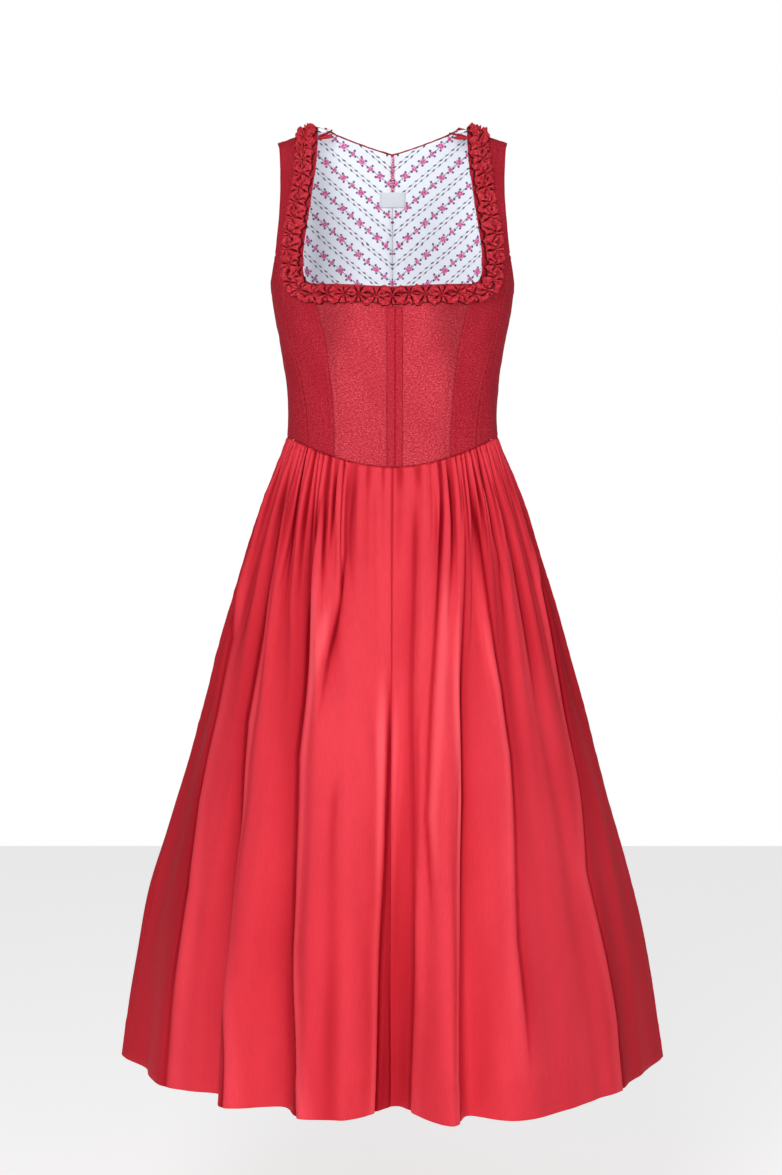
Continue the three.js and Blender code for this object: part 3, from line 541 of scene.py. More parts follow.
def twill(name, dark, light, shade=0.7, slant=0.0):
    """Closely woven cloth: fine flecks, uneven level threads and, where it shows, a diagonal, darkened by
    painted shade up to `shade`.
    """
    s = Shading(name, 0.8, Specular_IOR_Level=0.05)
    fine = s.noise(s.cloth_uv(), 1.0 / FLECK, 3, 0.75)
    grain = s.noise(s.cloth_uv(240, 900), 1.0, 2, 0.6)
    threads = s.noise(s.cloth_uv(30, 700), 1.0, 2, 0.55)
    wide = s.noise(s.cloth_uv(22, 16), 1.0, 2, 0.5)
    mixed = s.add(s.times(fine, 0.66), s.times(grain, 0.34))
    u, v = s.split(s.cloth_uv())
    weave = s.maths("SINE", s.times(s.add(s.times(u, 0.8), v), 2.5))
    mixed = s.add(mixed, s.times(weave, slant))
    base = s.mix(s.ramp(mixed, 0.4, 0.62), dark, light)
    bright = tuple(min(1.0, c * 1.22 + 0.07) for c in light)
    base = s.mix(s.ramp(mixed, 0.55, 0.68, 0, 0.6), base, bright)
    base = s.mix(s.ramp(threads, 0.56, 0.74, 0, 0.42), base, light)
    base = s.mix(s.ramp(wide, 0.35, 0.7, 0, 0.3), base, dark)
    # Painted shade: the colour is multiplied darker, by up to `shade`, where the mesh carries painted shade.
    painted_shade = s.ramp(s.value("painted_shade"), 0, 1, 1.0, 1 - shade)
    shadow = s.tree.nodes.new("ShaderNodeCombineColor")
    for socket in shadow.inputs[:3]:
        s.put(socket, painted_shade)
    base = s.mix(1.0, base, shadow.outputs[0], "MULTIPLY")
    s.bump(mixed, 0.25, 0.0003)
    return s.colour(base)


def satin(name, base, deep):
    """Fine, slightly lustrous cotton satin, darkened toward `deep` by painted shade and lightened by a
    painted highlight where that value is below zero.
    """
    s = Shading(name, 0.7, Specular_IOR_Level=0.03)
    threads = s.noise(s.cloth_uv(900, 60), 1.0, 2, 0.5)
    clouds = s.noise(s.cloth_uv(14, 9), 1.0, 2, 0.5)
    colour = s.mix(s.ramp(clouds, 0.3, 0.75, 0, 0.1), base, deep)
    colour = s.mix(s.ramp(threads, 0.3, 0.7, 0, 0.1), colour, deep)
    # Painted shade: a deeper red, then `deep`, where the painted shade is high; a painted highlight where it
    # is below zero.
    painted_shade_red = (base[0] * 0.85, base[1] * 0.3, base[2] * 0.42)
    colour = s.mix(s.ramp(s.value("painted_shade"), 0, 0.5, 0, 0.5), colour, painted_shade_red)
    colour = s.mix(s.ramp(s.value("painted_shade"), 0, 1.15), colour, deep)
    lit = tuple(min(1.0, c * 1.08 + 0.045) for c in base)
    colour = s.mix(s.ramp(s.value("painted_shade"), 0, -0.5), colour, lit)
    s.bump(threads, 0.12, 0.0003)
    return s.colour(colour)


def plain(name, colour, roughness, **constants):
    return Shading(name, roughness, Specular_IOR_Level=0.2, **constants).colour((*colour, 1))


# The print in millimetres: the stripes' slope in degrees, their pitch and offset, and along a
# stripe the roses' pitch, the leaves' reach, half the gap of the dashed pair and its dashes' pitch.
PRINT = {"slope": 40, "pitch": 30.6, "offset": -1.8, "rose": 14.4, "reach": 4.9, "pair": 1.9, "dash": 9.9}


def printed_lining(name):
    """White cotton with rose and leaf stripes, in chevrons at the seams, charted by distances."""
    s = Shading(name, 0.85, Specular_IOR_Level=0.15)
    u, v = s.split(s.cloth_uv())
    a = s.size(u)
    slope = math.radians(PRINT["slope"])
    sine, cosine = math.sin(slope), math.cos(slope)
    along = s.add(s.times(a, cosine), s.times(v, sine))
    across = s.add(s.add(s.times(v, cosine), s.times(a, -sine)), PRINT["offset"])
    # A hand-printed wobble
    wobble = s.less(s.noise(s.cloth_uv(), 0.55, 1, 0.5), 0.5)
    along, across = s.add(along, s.times(wobble, 1.3)), s.add(across, s.times(wobble, 0.9))

    def cell(value, pitch, offset=0.0):
        """Distance from the nearest repeat, and its number."""
        share = s.add(s.times(value, 1 / pitch), offset)
        whole = s.maths("ROUND", share)
        return s.times(s.less(share, whole), pitch), whole

    def distance(x, y):
        return s.maths("SQRT", s.add(s.times(x, x), s.times(y, y)))

    def off(value, amount):
        return s.less(s.size(value), amount)

    def within(value, limit, soft):
        """1 below the limit and 0 above it, with a soft edge."""
        if isinstance(limit, float):
            return s.ramp(value, limit + soft, limit - soft)
        return s.ramp(value, s.add(limit, soft), s.add(limit, -soft))

    row, which = cell(across, PRINT["pitch"])
    x, number = cell(s.add(along, s.times(which, 5.3)), PRINT["rose"])
    odd = s.maths("FLOORED_MODULO", number, 2.0)
    ragged = s.times(s.less(s.noise(s.cloth_uv(), 0.42, 1, 0.5), 0.5), 4.2)
    rose = within(s.add(distance(x, row), ragged), s.add(3.8, s.times(odd, -0.9)), 0.45)
    # Leaves stand upright round the small roses and slanted round the others.
    around = s.add(PRINT["reach"], s.times(odd, -0.5))
    upright = s.maths("MINIMUM", distance(off(x, around), s.add(row, 0.9)),
                      distance(s.add(x, -0.7), off(row, around)))
    corner = s.times(around, 0.74)
    slanted = distance(off(x, corner), off(row, corner))
    leaves = s.add(s.times(upright, odd), s.times(slanted, s.less(1.0, odd)))
    leaf = within(leaves, 1.5, 0.25)
    bud_x = off(x, PRINT["rose"] / 2)
    bud_x = s.maths("MINIMUM", s.size(bud_x), s.size(off(bud_x, 2.2)))
    bud = within(distance(bud_x, s.add(row, s.times(wobble, 3.0))), 0.85, 0.3)
    middle, _ = cell(across, PRINT["pitch"], 0.5)
    upper = s.maths("SIGN", middle)
    dash_x, _ = cell(s.add(along, s.times(upper, PRINT["dash"] / 4)), PRINT["dash"])
    line_y = off(middle, PRINT["pair"])
    dash = within(distance(s.times(dash_x, 0.4), s.add(line_y, s.times(dash_x, 0.14))), 0.95, 0.22)
    line = within(s.size(line_y), 0.36, 0.2)
    cloth = s.mix(s.noise(s.cloth_uv(24, 20), 1.0, 2, 0.5), (0.84, 0.89, 0.99), (0.91, 0.95, 1.0))
    petals = s.mix(s.ramp(s.noise(s.cloth_uv(), 0.6, 1, 0.5), 0.42, 0.58),
                   (0.88, 0.30, 0.60), (0.50, 0.035, 0.22))
    colour = cloth
    for shape, cover, ink in ((line, 0.45, (0.22, 0.22, 0.26)), (dash, 0.9, (0.05, 0.05, 0.07)),
                              (bud, 0.9, (0.27, 0.06, 0.22)), (leaf, 0.92, (0.035, 0.045, 0.085))):
        colour = s.mix(s.times(shape, cover), colour, ink)
    return s.colour(s.mix(rose, colour, petals))


BODICE = twill("Front centre twill", (0.36, 0.014, 0.026), (0.66, 0.070, 0.095), shade=0.3)
# Painted shade: the side twill is the front twill painted darker, for the sides that turn away from the
# light.
SIDE_TWILL_SHADED = twill("Side twill painted darker", (0.29, 0.006, 0.016), (0.50, 0.028, 0.048), shade=0.3, slant=0.06)
STRIPS = twill("Front strip twill", (0.36, 0.010, 0.022), (0.52, 0.036, 0.056), shade=0.75)
RUCHE_CLOTH = twill("Ruche twill", (0.41, 0.012, 0.024), (0.64, 0.056, 0.076), shade=0.98)
BINDING = twill("Edge twill", (0.30, 0.010, 0.024), (0.46, 0.030, 0.055))
# The skirt satin's second colour is its painted shade.
SKIRT_SATIN = satin("Skirt satin", (0.76, 0.050, 0.072), (0.22, 0.001, 0.006))
LINING = printed_lining("Printed lining")
TAPE = plain("Label tape", (0.70, 0.74, 0.79), 0.7)
CROSS_STITCH = plain("Cross-stitch thread", (0.80, 0.05, 0.22), 0.6)


# ---- Bodice panels ----
def seam_shape(d, places, seed):
    """Pressed open seam: a soft dip at the stitching and a low ridge over its allowance."""
    pucker = ripple(seed, places, 14) * bell(d - 3, 4) * 0.12
    return -0.4 * bell(d, 0.9) + 0.42 * bell(d - 3.4, 1.9) - 0.15 * bell(d - 7.5, 1.5) + pucker


def turned_shape(d, places, seed):
    """An edge turned in: thicker over its allowance, with a faint step where that ends."""
    return 0.42 * (1 - smooth(6.4, 8.2, d)) + ripple(seed, places, 22) * bell(d, 7) * 0.14


def panel_grid(low, high, columns, rows, rows_high):
    across = 0.0003 + 0.9994 * spread(columns)
    at = patch(low, across, np.linspace(0, 1, rows))
    if high:
        at = np.concatenate([at, patch(high, across, np.linspace(0, 1, rows_high))[1:]])
    return body(at[..., 0], at[..., 1]), body_normal(at[..., 0], at[..., 1])


# Each panel: its patches, its size in columns and rows, and what each side is.
# seam = sewn to the next panel, edge = turned in. A pair is the lower and the upper part.
PANELS = {
    "front_centre": ("front_centre", None, 40, 110, 0, "seam", "seam", "edge"),
    "front_side": ("front_low", "front_strap", 34, 100, 92, ("seam", "edge"), ("seam", "edge"), "seam"),
    "side": ("side", None, 24, 108, 0, "seam", "seam", "edge"),
    "back_side": ("back_side", None, 44, 112, 0, "seam", "seam", "edge"),
    "back_centre": ("back_low", "back_high", 50, 104, 62, ("seam", "edge"), "seam", "neck"),
}
# Soft uneven drag lines: x, height, half length, slant in degrees, width, depth.
DRAGS = {
    1: [(46, -262, 34, 76, 5, 0.5), (84, -330, 30, 84, 4.5, 0.45), (30, -352, 26, 12, 4, 0.3),
        (98, -292, 22, 70, 4, 0.5), (112, -350, 20, 82, 4, 0.5), (66, -375, 18, 88, 3.5, 0.4),
        (118, -212, 20, 40, 5, 0.6), (22, -246, 20, 8, 3.5, 0.25), (124, -262, 26, 78, 4, 0.55),
        (52, -310, 24, 20, 4, 0.3), (110, -100, 26, 80, 5, 0.35), (128, -120, 18, 84, 4, 0.4)],
    -1: [(40, -270, 30, 80, 5, 0.45), (78, -338, 32, 82, 4.5, 0.5), (24, -340, 22, -10, 4, 0.3),
         (94, -286, 26, 74, 4.5, 0.45), (108, -340, 24, 80, 4, 0.5), (60, -368, 20, 85, 3.5, 0.45),
         (121, -220, 18, 48, 5, 0.55), (34, -238, 24, -6, 3.5, 0.28), (122, -280, 22, 80, 4, 0.5),
         (56, -300, 20, 16, 4, 0.3), (113, -92, 22, 82, 5, 0.35), (126, -130, 20, 80, 4, 0.4)],
}


def drag_lines(places, side):
    """Fits fronts and backs: the same uneven lines, moved on the back."""
    x, y, z = np.abs(places[..., 0]), places[..., 1], places[..., 2]
    total = np.zeros(x.shape)
    for k, (cx, cz, half, slant, wide, deep) in enumerate(DRAGS[side]):
        s, c = math.sin(math.radians(slant)), math.cos(math.radians(slant))
        for back, moved in ((False, 0), (True, 9 - 4 * (k % 5))):
            dx, dz = x - cx - moved, z - cz - moved * 1.7
            along, off = dx * c + dz * s, dz * c - dx * s
            here = (y > 0) if back else (y <= 0)
            total -= here * deep * bell(off, wide) * np.clip(1 - (along / half) ** 2, 0, 1) ** 2
    return total


def placket_lip(places, side):
    """The front's own edge stands up a little beside the strip that covers the closing."""
    x, z = places[..., 0], places[..., 2]
    at = 13.0 if side > 0 else 8.0
    return (0.75 * bell(x - at, 1.3) - 0.55 * bell(x - at + 1.6, 0.8)) * smooth(-217, -222, z)


for panel, (low, high, columns, rows, rows_high, left, right, top) in PANELS.items():
    for side, word in SIDE_WORDS:
        seed = f"{panel}{word}"
        grid, normal = panel_grid(low, high, columns, rows, rows_high)
        from_left, from_right = runs(grid, 1)
        from_waist, from_top = runs(grid, 0)
        is_high = np.zeros((grid.shape[0], 1))
        is_high[rows:] = 1
        lift, painted_shade = np.zeros(grid.shape[:2]), np.zeros(grid.shape[:2])
        for d, kind, tag in ((from_left, left, "l"), (from_right, right, "r")):
            pair = kind if isinstance(kind, tuple) else (kind, kind)
            for name, here in ((pair[0], 1 - is_high), (pair[1], is_high)):
                shape = seam_shape if name == "seam" else turned_shape
                lift = lift + here * shape(d, grid, seed + tag)
                # Painted shade in the seam's dip and beside its allowance
                if name == "seam":
                    painted_shade = np.maximum(painted_shade, here * (bell(d, 0.9) + 0.3 * bell(d - 7.5, 1.6)))
        if top == "neck":
            is_neck = (grid[:1, :, 0] < SHOULDER["inner"] - 8)
            lift += np.where(is_neck, turned_shape(from_top, grid, seed + "t"),
                             seam_shape(from_top, grid, seed + "t"))
        else:
            lift += (seam_shape if top == "seam" else turned_shape)(from_top, grid, seed + "t")
            # Painted shade along the top seam
            if top == "seam":
                painted_shade = np.maximum(painted_shade, bell(from_top, 1.3))
        lift += -0.7 * bell(from_waist, 1.6) + ripple(seed + "w", grid, 8) * bell(from_waist, 7) * 0.3
        # Painted shade along the waist seam
        painted_shade = np.maximum(painted_shade, 0.4 * bell(from_waist, 1.3))
        lift += ripple(seed + "b", grid, 42) * 0.3 + drag_lines(grid, side)
        if panel == "front_centre":
            lift += placket_lip(grid, side)
            x, z = grid[..., 0], grid[..., 2]
            # Painted shade in the groove beside the strip over the closing; `dark` is how strong the painted
            # falloff below is.
            strip_edge, dark = (11.8, 1.25) if side > 0 else (6.8, 0.95)
            painted_shade = np.maximum(painted_shade, 0.7 * bell(x - strip_edge, 0.8) * smooth(-217, -222, z))
            # Painted shade: the light's falloff toward the princess seam, most of all below the ruche, is
            # painted into the colour.
            near_waist = smooth(-215, -330, z)
            painted_shade += dark * smooth(20 + 25 * near_waist, 86, x) * (1 - 0.45 * near_waist)
        lift = np.maximum(lift, -1.05)
        outer = grid + normal * lift[..., None]
        under = grid - normal * BODICE_CLOTH
        uv = np.stack([from_left, from_waist + (7 if side > 0 else 400)], axis=-1)
        made = add_shell(f"{panel}_{word}", outer, under, uv,
                         BODICE if panel == "front_centre" else SIDE_TWILL_SHADED, painted_shade=painted_shade, side=side)
        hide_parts(f"{panel}_{word}")

# ---- Linings: cut in one with their panels, a little inside them ----
LINING_OUT = -(BODICE_CLOTH + LINING_GAP)


def weld(upper, under, uv, faces):
    """Makes points that fall together one point, and drops faces that close up."""
    keys = np.round(upper * 20).astype(int)
    _, first, back = np.unique(keys, axis=0, return_index=True, return_inverse=True)
    back = back.ravel()
    faces = [tuple(dict.fromkeys(back[list(f)])) for f in faces]
    return upper[first], under[first], uv[first], [f for f in faces if len(f) > 2]


def closed(faces, total):
    """The faces, the same ones turned over for the inner side, and the rim between the two."""
    used = set()
    for f in faces:
        used.update(zip(f, f[1:] + f[:1]))
    shut = [tuple(i + total for i in f[::-1]) for f in faces]
    return faces + shut + [(q, p, p + total, q + total) for p, q in used if (q, p) not in used]


def lining_piece(name, parts, side, front):
    """Joins patches that share edges into one thin shell."""
    uppers, unders, uvs, faces, count = [], [], [], [], 0
    word = "left" if side > 0 else "right"
    for k, (low, columns, rows) in enumerate(parts):
        at = patch(low, np.linspace(0, 1, columns), np.linspace(0, 1, rows))
        grid, normal = body(at[..., 0], at[..., 1]), body_normal(at[..., 0], at[..., 1])
        x = grid[..., 0]
        grid[..., 0] = np.where(np.abs(x) < 0.15, 0.15, x)
        seam = (np.abs(grid[..., 1]) < 1e-3)
        grid[..., 1] += np.where(seam, -0.15 if front else 0.15, 0)
        soft = (ripple(f"lining{word}{front}", grid, 34) * 0.35
                + ripple(f"lining2{word}{front}", grid, 15) * 0.12)
        upper = grid + normal * (LINING_OUT + np.minimum(0, soft))[..., None]
        under = grid + normal * (LINING_OUT - LINING_CLOTH + soft)[..., None]
        # Distance round from the centre seam, measured along the cloth
        turn = at[..., 0]
        steps = np.linspace(0, 1, 25)[:, None, None]
        start = 0 if front else 180
        ring_points = body(start + (turn - start) * steps, at[..., 1])
        round_run = np.linalg.norm(np.diff(ring_points, axis=0), axis=-1).sum(axis=0)
        height = grid[..., 2] + 0.16 * np.abs(grid[..., 1] - grid[..., 1].max())
        uv = np.stack([round_run, height + 165.6], axis=-1)
        if side < 0:
            upper, under, uv = mirrored(upper), mirrored(under), uv[:, ::-1]
        faces += grid_faces(rows, columns, count)
        count += rows * columns
        uppers.append(upper.reshape(-1, 3))
        unders.append(under.reshape(-1, 3))
        uvs.append(uv.reshape(-1, 2))
    upper, under, uv, faces = weld(*(np.vstack(a) for a in (uppers, unders, uvs)), faces)
    made = add_mesh(name, np.vstack([upper, under]), closed(faces, len(upper)), LINING, np.vstack([uv, uv]))
    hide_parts(name)


for side, word in SIDE_WORDS:
    lining_piece(f"lining_front_{word}", [("front_centre", 16, 40), ("front_low", 14, 40),
                                          ("front_strap", 14, 34), ("side", 10, 40)], side, True)
    lining_piece(f"lining_back_{word}", [("back_side", 20, 44), ("back_low", 30, 44),
                                         ("back_high", 30, 34)], side, False)


# ---- Ruche: a strip pinched into stars along each side of the neckline ----
STARS = 18.5
# In millimetres but for "pinch", the width left at a pinch, and "across", the columns.
RUCHE = {"half": 10.6, "base": 1.4, "petal": 8.2, "cloth": 0.8, "pinch": 0.80, "step": 0.62, "across": 35}


def ruche_path(rows):
    at = [on_body(x, height) * np.array([1, LEVEL_STRETCH]) for x, height in rows]
    return spline(at[::-1])


ruche_inner, ruche_outer = ruche_path(RUCHE_INNER), ruche_path(RUCHE_OUTER)


def ruche_spot(share, across):
    at = ruche_inner(share) * (1 - across[..., None]) + ruche_outer(share) * across[..., None]
    return at[..., 0], np.maximum(0.02, at[..., 1] / LEVEL_STRETCH)


def ruche_relief(run, off, pitch, seed):
    """Height of the pinched cloth at `run` along the strip and `off` from its middle, and its painted
    shade in the grooves and at each pinch: ridges radiate from each pinch and blend with the next star's."""
    dice = random.Random(seed)
    marks = [[dice.uniform(-1, 1) for _ in range(8)] for _ in range(int(STARS) + 3)]
    place = run / pitch
    k = np.clip(np.floor(place).astype(int), 0, int(STARS) + 1)
    height, dark = np.zeros(run.shape), np.zeros(run.shape)
    for step in (0, 1):
        star = k + step
        mark = np.array(marks)[np.minimum(star, len(marks) - 1)]
        weight = np.cos((place - star) * math.pi / 2) ** 2
        ds = run - star * pitch + 1.6 * mark[..., 0]
        dt = off + 1.5 * mark[..., 1]
        reach = np.hypot(ds, dt)
        outer = (off > 0)
        angle = np.degrees(np.arctan2(ds, np.abs(dt) + 0.25))
        turned = np.where(outer, 15 * mark[..., 2], 15 * mark[..., 3])
        many = np.where(outer, 49 + 5 * mark[..., 4], 49 + 5 * mark[..., 5])
        beat = 0.5 + 0.5 * np.cos(2 * math.pi * (angle + turned) / many)
        ridge = np.sqrt(beat) ** 0.6
        groove = 1 - smooth(0.02, 0.34, beat)
        up = smooth(0.4, 5.2, reach) * (1 - 0.12 * smooth(7, 11, reach))
        height += weight * up * (0.1 + 0.9 * ridge) * (1 + 0.22 * mark[..., 6])
        # Painted shade in the grooves between the petals and at each pinch
        dark += weight * (0.95 * groove * smooth(0.6, 2.4, reach) * (1 - 0.3 * smooth(8, 11, reach))
                          + 0.8 * (1 - smooth(0.2, 1.8, reach)))
    return height, dark


def ruche_edges(lengths, total, pitch, seed):
    """How far the inner and the outer edge stand off the strip's middle, as shares of its half width."""
    dice = random.Random(seed)
    knots = np.arange(0, total + pitch, pitch / 6)
    rough = {s: np.interp(lengths, knots, [dice.uniform(-1, 1) for _ in knots]) for s in (-1, 1)}
    beat = np.sin(math.pi * lengths / pitch) ** 2
    wide = RUCHE["pinch"] + (1 - RUCHE["pinch"]) * beat
    inner, outer = (wide * (1.06 + 0.17 * rough[s]) for s in (-1, 1))
    return inner * (1.1 + 0.1 * smooth(total * 0.4, total * 0.6, lengths)), outer


def make_ruche(side, word):
    seed = f"ruche{word}"
    samples = np.linspace(0, 1, 401)
    line = body(*ruche_spot(samples, np.full(401, 0.5)))
    run = np.concatenate([[0], np.cumsum(np.linalg.norm(np.diff(line, axis=0), axis=1))])
    total = run[-1]
    pitch = total / STARS
    lengths = np.linspace(0, total, int(total / RUCHE["step"]))
    shares = np.interp(lengths, run, samples)
    # Columns, from the inner to the outer edge, lie closer together at both edges.
    bend = 0.86
    tau = np.sin(np.linspace(-1, 1, RUCHE["across"]) * math.pi / 2 * bend) / math.sin(math.pi / 2 * bend)
    inner, outer = ruche_edges(lengths, total, pitch, seed)
    reach = np.where(tau < 0, inner[:, None], outer[:, None]) * tau
    turn, level = ruche_spot(np.broadcast_to(shares[:, None], reach.shape), 0.5 + 0.5 * reach)
    base, normal = body(turn, level), body_normal(turn, level)
    base[0, :, 0] = 0.02
    height, dark = ruche_relief(np.broadcast_to(lengths[:, None], reach.shape),
                                reach * RUCHE["half"], pitch, seed)
    ends = smooth(-1, 3, lengths)[:, None] * 0.35 + 0.65
    shut = (1 - np.abs(tau) ** 9)
    crumple = ripple(seed + "c", base, 4.6) * 1.1 + ripple(seed + "d", base, 2.5) * 0.4
    lift = (0.35 + RUCHE["base"] * (0.35 + 0.65 * shut)
            + RUCHE["petal"] * height * ends * (0.16 + 0.84 * shut))
    lift = lift + crumple * shut
    # The end stands up over the shoulder
    lift = lift + (0.9 * smooth(total - 24, total - 4, lengths))[:, None] * shut
    # Petals lean away from the middle
    side_way = np.gradient(base, axis=1)
    side_way /= np.maximum(np.linalg.norm(side_way, axis=-1, keepdims=True), 1e-9)
    lean = tau * height
    top = base + normal * lift[..., None] + side_way * lean[..., None]
    under = base + normal * np.minimum(lift - RUCHE["cloth"], 0.32)[..., None]
    # Painted shade in the grooves, at the pinches and along both edges where the cloth turns under
    painted_shade = np.clip(dark, 0, 1) * shut + 0.75 * (np.abs(tau) > 0.93)
    uv = np.stack(np.broadcast_arrays(lengths[:, None], reach * RUCHE["half"]), axis=-1)
    made = add_shell(f"ruche_{word}", top, under, uv, RUCHE_CLOTH, 0.2, painted_shade, side)
    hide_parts(f"ruche_{word}")


for side, word in SIDE_WORDS:
    make_ruche(side, word)

# ---- Folded strips over the concealed closing; they meet 3 mm to the wearer's left ----
for word, fold, outer in (("left", 3.08, 11.65), ("right", 2.98, -6.65)):
    wide = abs(outer - fold)
    shares = np.linspace(0, 1, 120)
    at = EDGE["centre_front"](shares)
    shares = shares[body(at[:, 0], at[:, 1])[:, 2] <= -219.9]
    over = np.concatenate([[0, 0.35, 0.85, 1.55], np.linspace(2.45, wide - 1.6, 8),
                           [wide - 0.9, wide - 0.4, wide]])
    if outer < fold:
        over = over[::-1]
    x = fold + np.sign(outer - fold) * over
    level = EDGE["centre_front"](shares)[:, 1]
    turn = np.degrees(np.arcsin((np.abs(x)[None] / section(level, "half")[:, None]) ** (RING_POWER / 2)))
    level = np.minimum(level[:, None], on_waist(turn)[..., 1])
    turn = turn * np.sign(x)
    grid, normal = body(turn, level), body_normal(turn, level)
    lift = 1.45 + 0.7 * bell(over - 1.6, 1.0) - 0.6 * bell(over, 0.7) + 0.2 * bell(over - wide + 1.4, 0.9)
    lift = lift - 0.55 * bell(over - wide, 0.5)
    lift = lift + ripple(f"strip{word}", grid, 30) * 0.22 + ripple(f"strip2{word}", grid, 9) * 0.08
    under = grid + normal * 0.3
    top = grid + normal * np.maximum(lift, 0.55)[..., None]
    # Painted shade in the fold at the closing and along the strip's outer edge
    painted_shade = np.maximum(0.4 * bell(over, 0.7), 0.5 * bell(over - wide, 0.6)) + 0 * lift
    uv = np.stack([np.broadcast_to(x, turn.shape), grid[..., 2]], axis=-1)
    made = add_shell(f"placket_{word}", top, under, uv, STRIPS, 0.2, painted_shade)
    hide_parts(f"placket_{word}")

# ---- Label: bare woven tape, folded under and sewn at its ends ----
LABEL = {"x": 0.5, "top": -54, "wide": 32, "tall": 17.5}
u, v = np.linspace(0, 1, 26), np.linspace(0, 1, 18)
x = LABEL["x"] - LABEL["wide"] * (0.5 - u)[None] + 0 * v[:, None]
height = LABEL["top"] - LABEL["tall"] * (1 - v)[:, None] + 0 * u[None]
at = on_body(np.abs(x), height, False)
turn = np.where(x < 0, -at[..., 0], at[..., 0])
grid, normal = body(turn, at[..., 1]), body_normal(turn, at[..., 1])
from_end = np.minimum(u, 1 - u)[None] * LABEL["wide"]
lift = -(BODICE_CLOTH + LINING_GAP + LINING_CLOTH + 0.45) - 0.35 * smooth(0, 3, from_end) \
    - 0.25 * np.sin(v * math.pi)[:, None]
lift = lift + ripple("label", grid, 12) * 0.12
faces_in, faces_out = (grid + normal * k[..., None] for k in (lift - 0.55, lift))
# Seen from inside the dress, so the grid is turned over to look to the back.
uv = np.stack([x, height], axis=-1)
made = add_shell("label", faces_out[:, ::-1], faces_in[:, ::-1], uv[:, ::-1], TAPE, 0.3)
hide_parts("label")


# ---- Skirt ----
FOLDS = np.array(LARGE_FOLDS, float)
GATHER, PLEAT = 1.55, 4.2  # heights of the fine gathers and of the small folds, in millimetres
HEM_TURN = 42


def fold_between(column, turn):
    i = np.clip(np.searchsorted(FOLDS[1:, 0], turn, side="left"), 0, len(FOLDS) - 2)
    a, b = FOLDS[i], FOLDS[i + 1]
    t = np.clip((turn - a[..., 0]) / (b[..., 0] - a[..., 0]), 0, 1)
    t = t * t * (3 - 2 * t) if column == 2 else t
    return a[..., column] + (b[..., column] - a[..., column]) * t


def hem_turn(turn):
    total = 0
    for move, share in ((-5, 1), (0, 2), (5, 1)):
        t = turn + move
        over = np.where(t > 180, 360, np.where(t < -180, -360, 0))
        total = total + share * (over + fold_between(1, t - over))
    return total / 4


def skirt_point(count, side, down):
    """The skirt's form: outline, large folds, small folds and gathers, as in the part."""
    count, down = np.broadcast_arrays(np.asarray(count, float), np.asarray(down, float))
    start = side * between(*GATHERS, count)
    seat = level_at(waist_height(start[:1]), lambda level: start[:1])
    out = between(*FLARE, down)
    turn = start + (hem_turn(start) - start) * (1 - (1 - down) ** 2)
    power = RING_POWER + (2 - RING_POWER) * smooth(0, 0.4, down)
    half, front, back = (section(seat, c) + (HEM[c] - section(seat, c)) * out
                         for c in ("half", "front", "back"))
    depth = np.where(np.cos(np.radians(turn)) > 0, front, back)
    x, y = ring(half, depth, power, turn)
    large = 1 + (fold_between(2, start) - 1) * down ** 1.15
    way = np.stack([x / half ** 2, y / depth ** 2], axis=-1)
    way /= np.linalg.norm(way, axis=-1, keepdims=True)
    uneven = 1 + 0.35 * np.sin(count * 2.3 + side + np.where(np.cos(np.radians(start)) > 0, 0, 1.7))
    wander = count + 0.13 * np.sin(count * 1.9 + side) + 0.09 * np.sin(count * 4.3 + 2 * side)
    length = 0.5 + 0.5 * np.sin(count * 5.1 + side * 1.3) * np.sin(count * 1.37)
    fading = smooth(0.03 + 0.03 * length, 0.13 + 0.16 * length, down)
    fine = GATHER * (1 - fading) * np.cos(2 * math.pi * wander)
    crowd = 0.3 + 0.9 * smooth(10, 17, np.abs(start)) * (1 - 0.4 * smooth(46, 62, np.abs(start)))
    crowd = np.maximum(crowd, 0.75 - 0.45 * smooth(0.01, 0.055, down))
    fine = fine * (0.75 + 0.35 * np.sin(count * 3.7 + 1)) * crowd
    calm = smooth(2, 7, count) * smooth(2, 6, 2 * QUARTER - count)
    small = (PLEAT * smooth(0, 0.13, down) * (1 - 0.75 * smooth(0.2, 0.55, down)) * uneven
             * (0.25 + 0.75 * calm) * np.cos(2 * math.pi * count / 3))
    rise = fine + small
    height = waist_height(start) - WAIST["skirt"]
    height = height + (HEM["height"] - height) * down
    dips = (np.clip(-fine / GATHER, 0, 1)
            + 0.35 * np.clip(-small / PLEAT, 0, 1) * (1 - smooth(0.2, 0.5, down)))
    return np.stack([x * large + way[..., 0] * rise, y * large + way[..., 1] * rise, height], axis=-1), dips
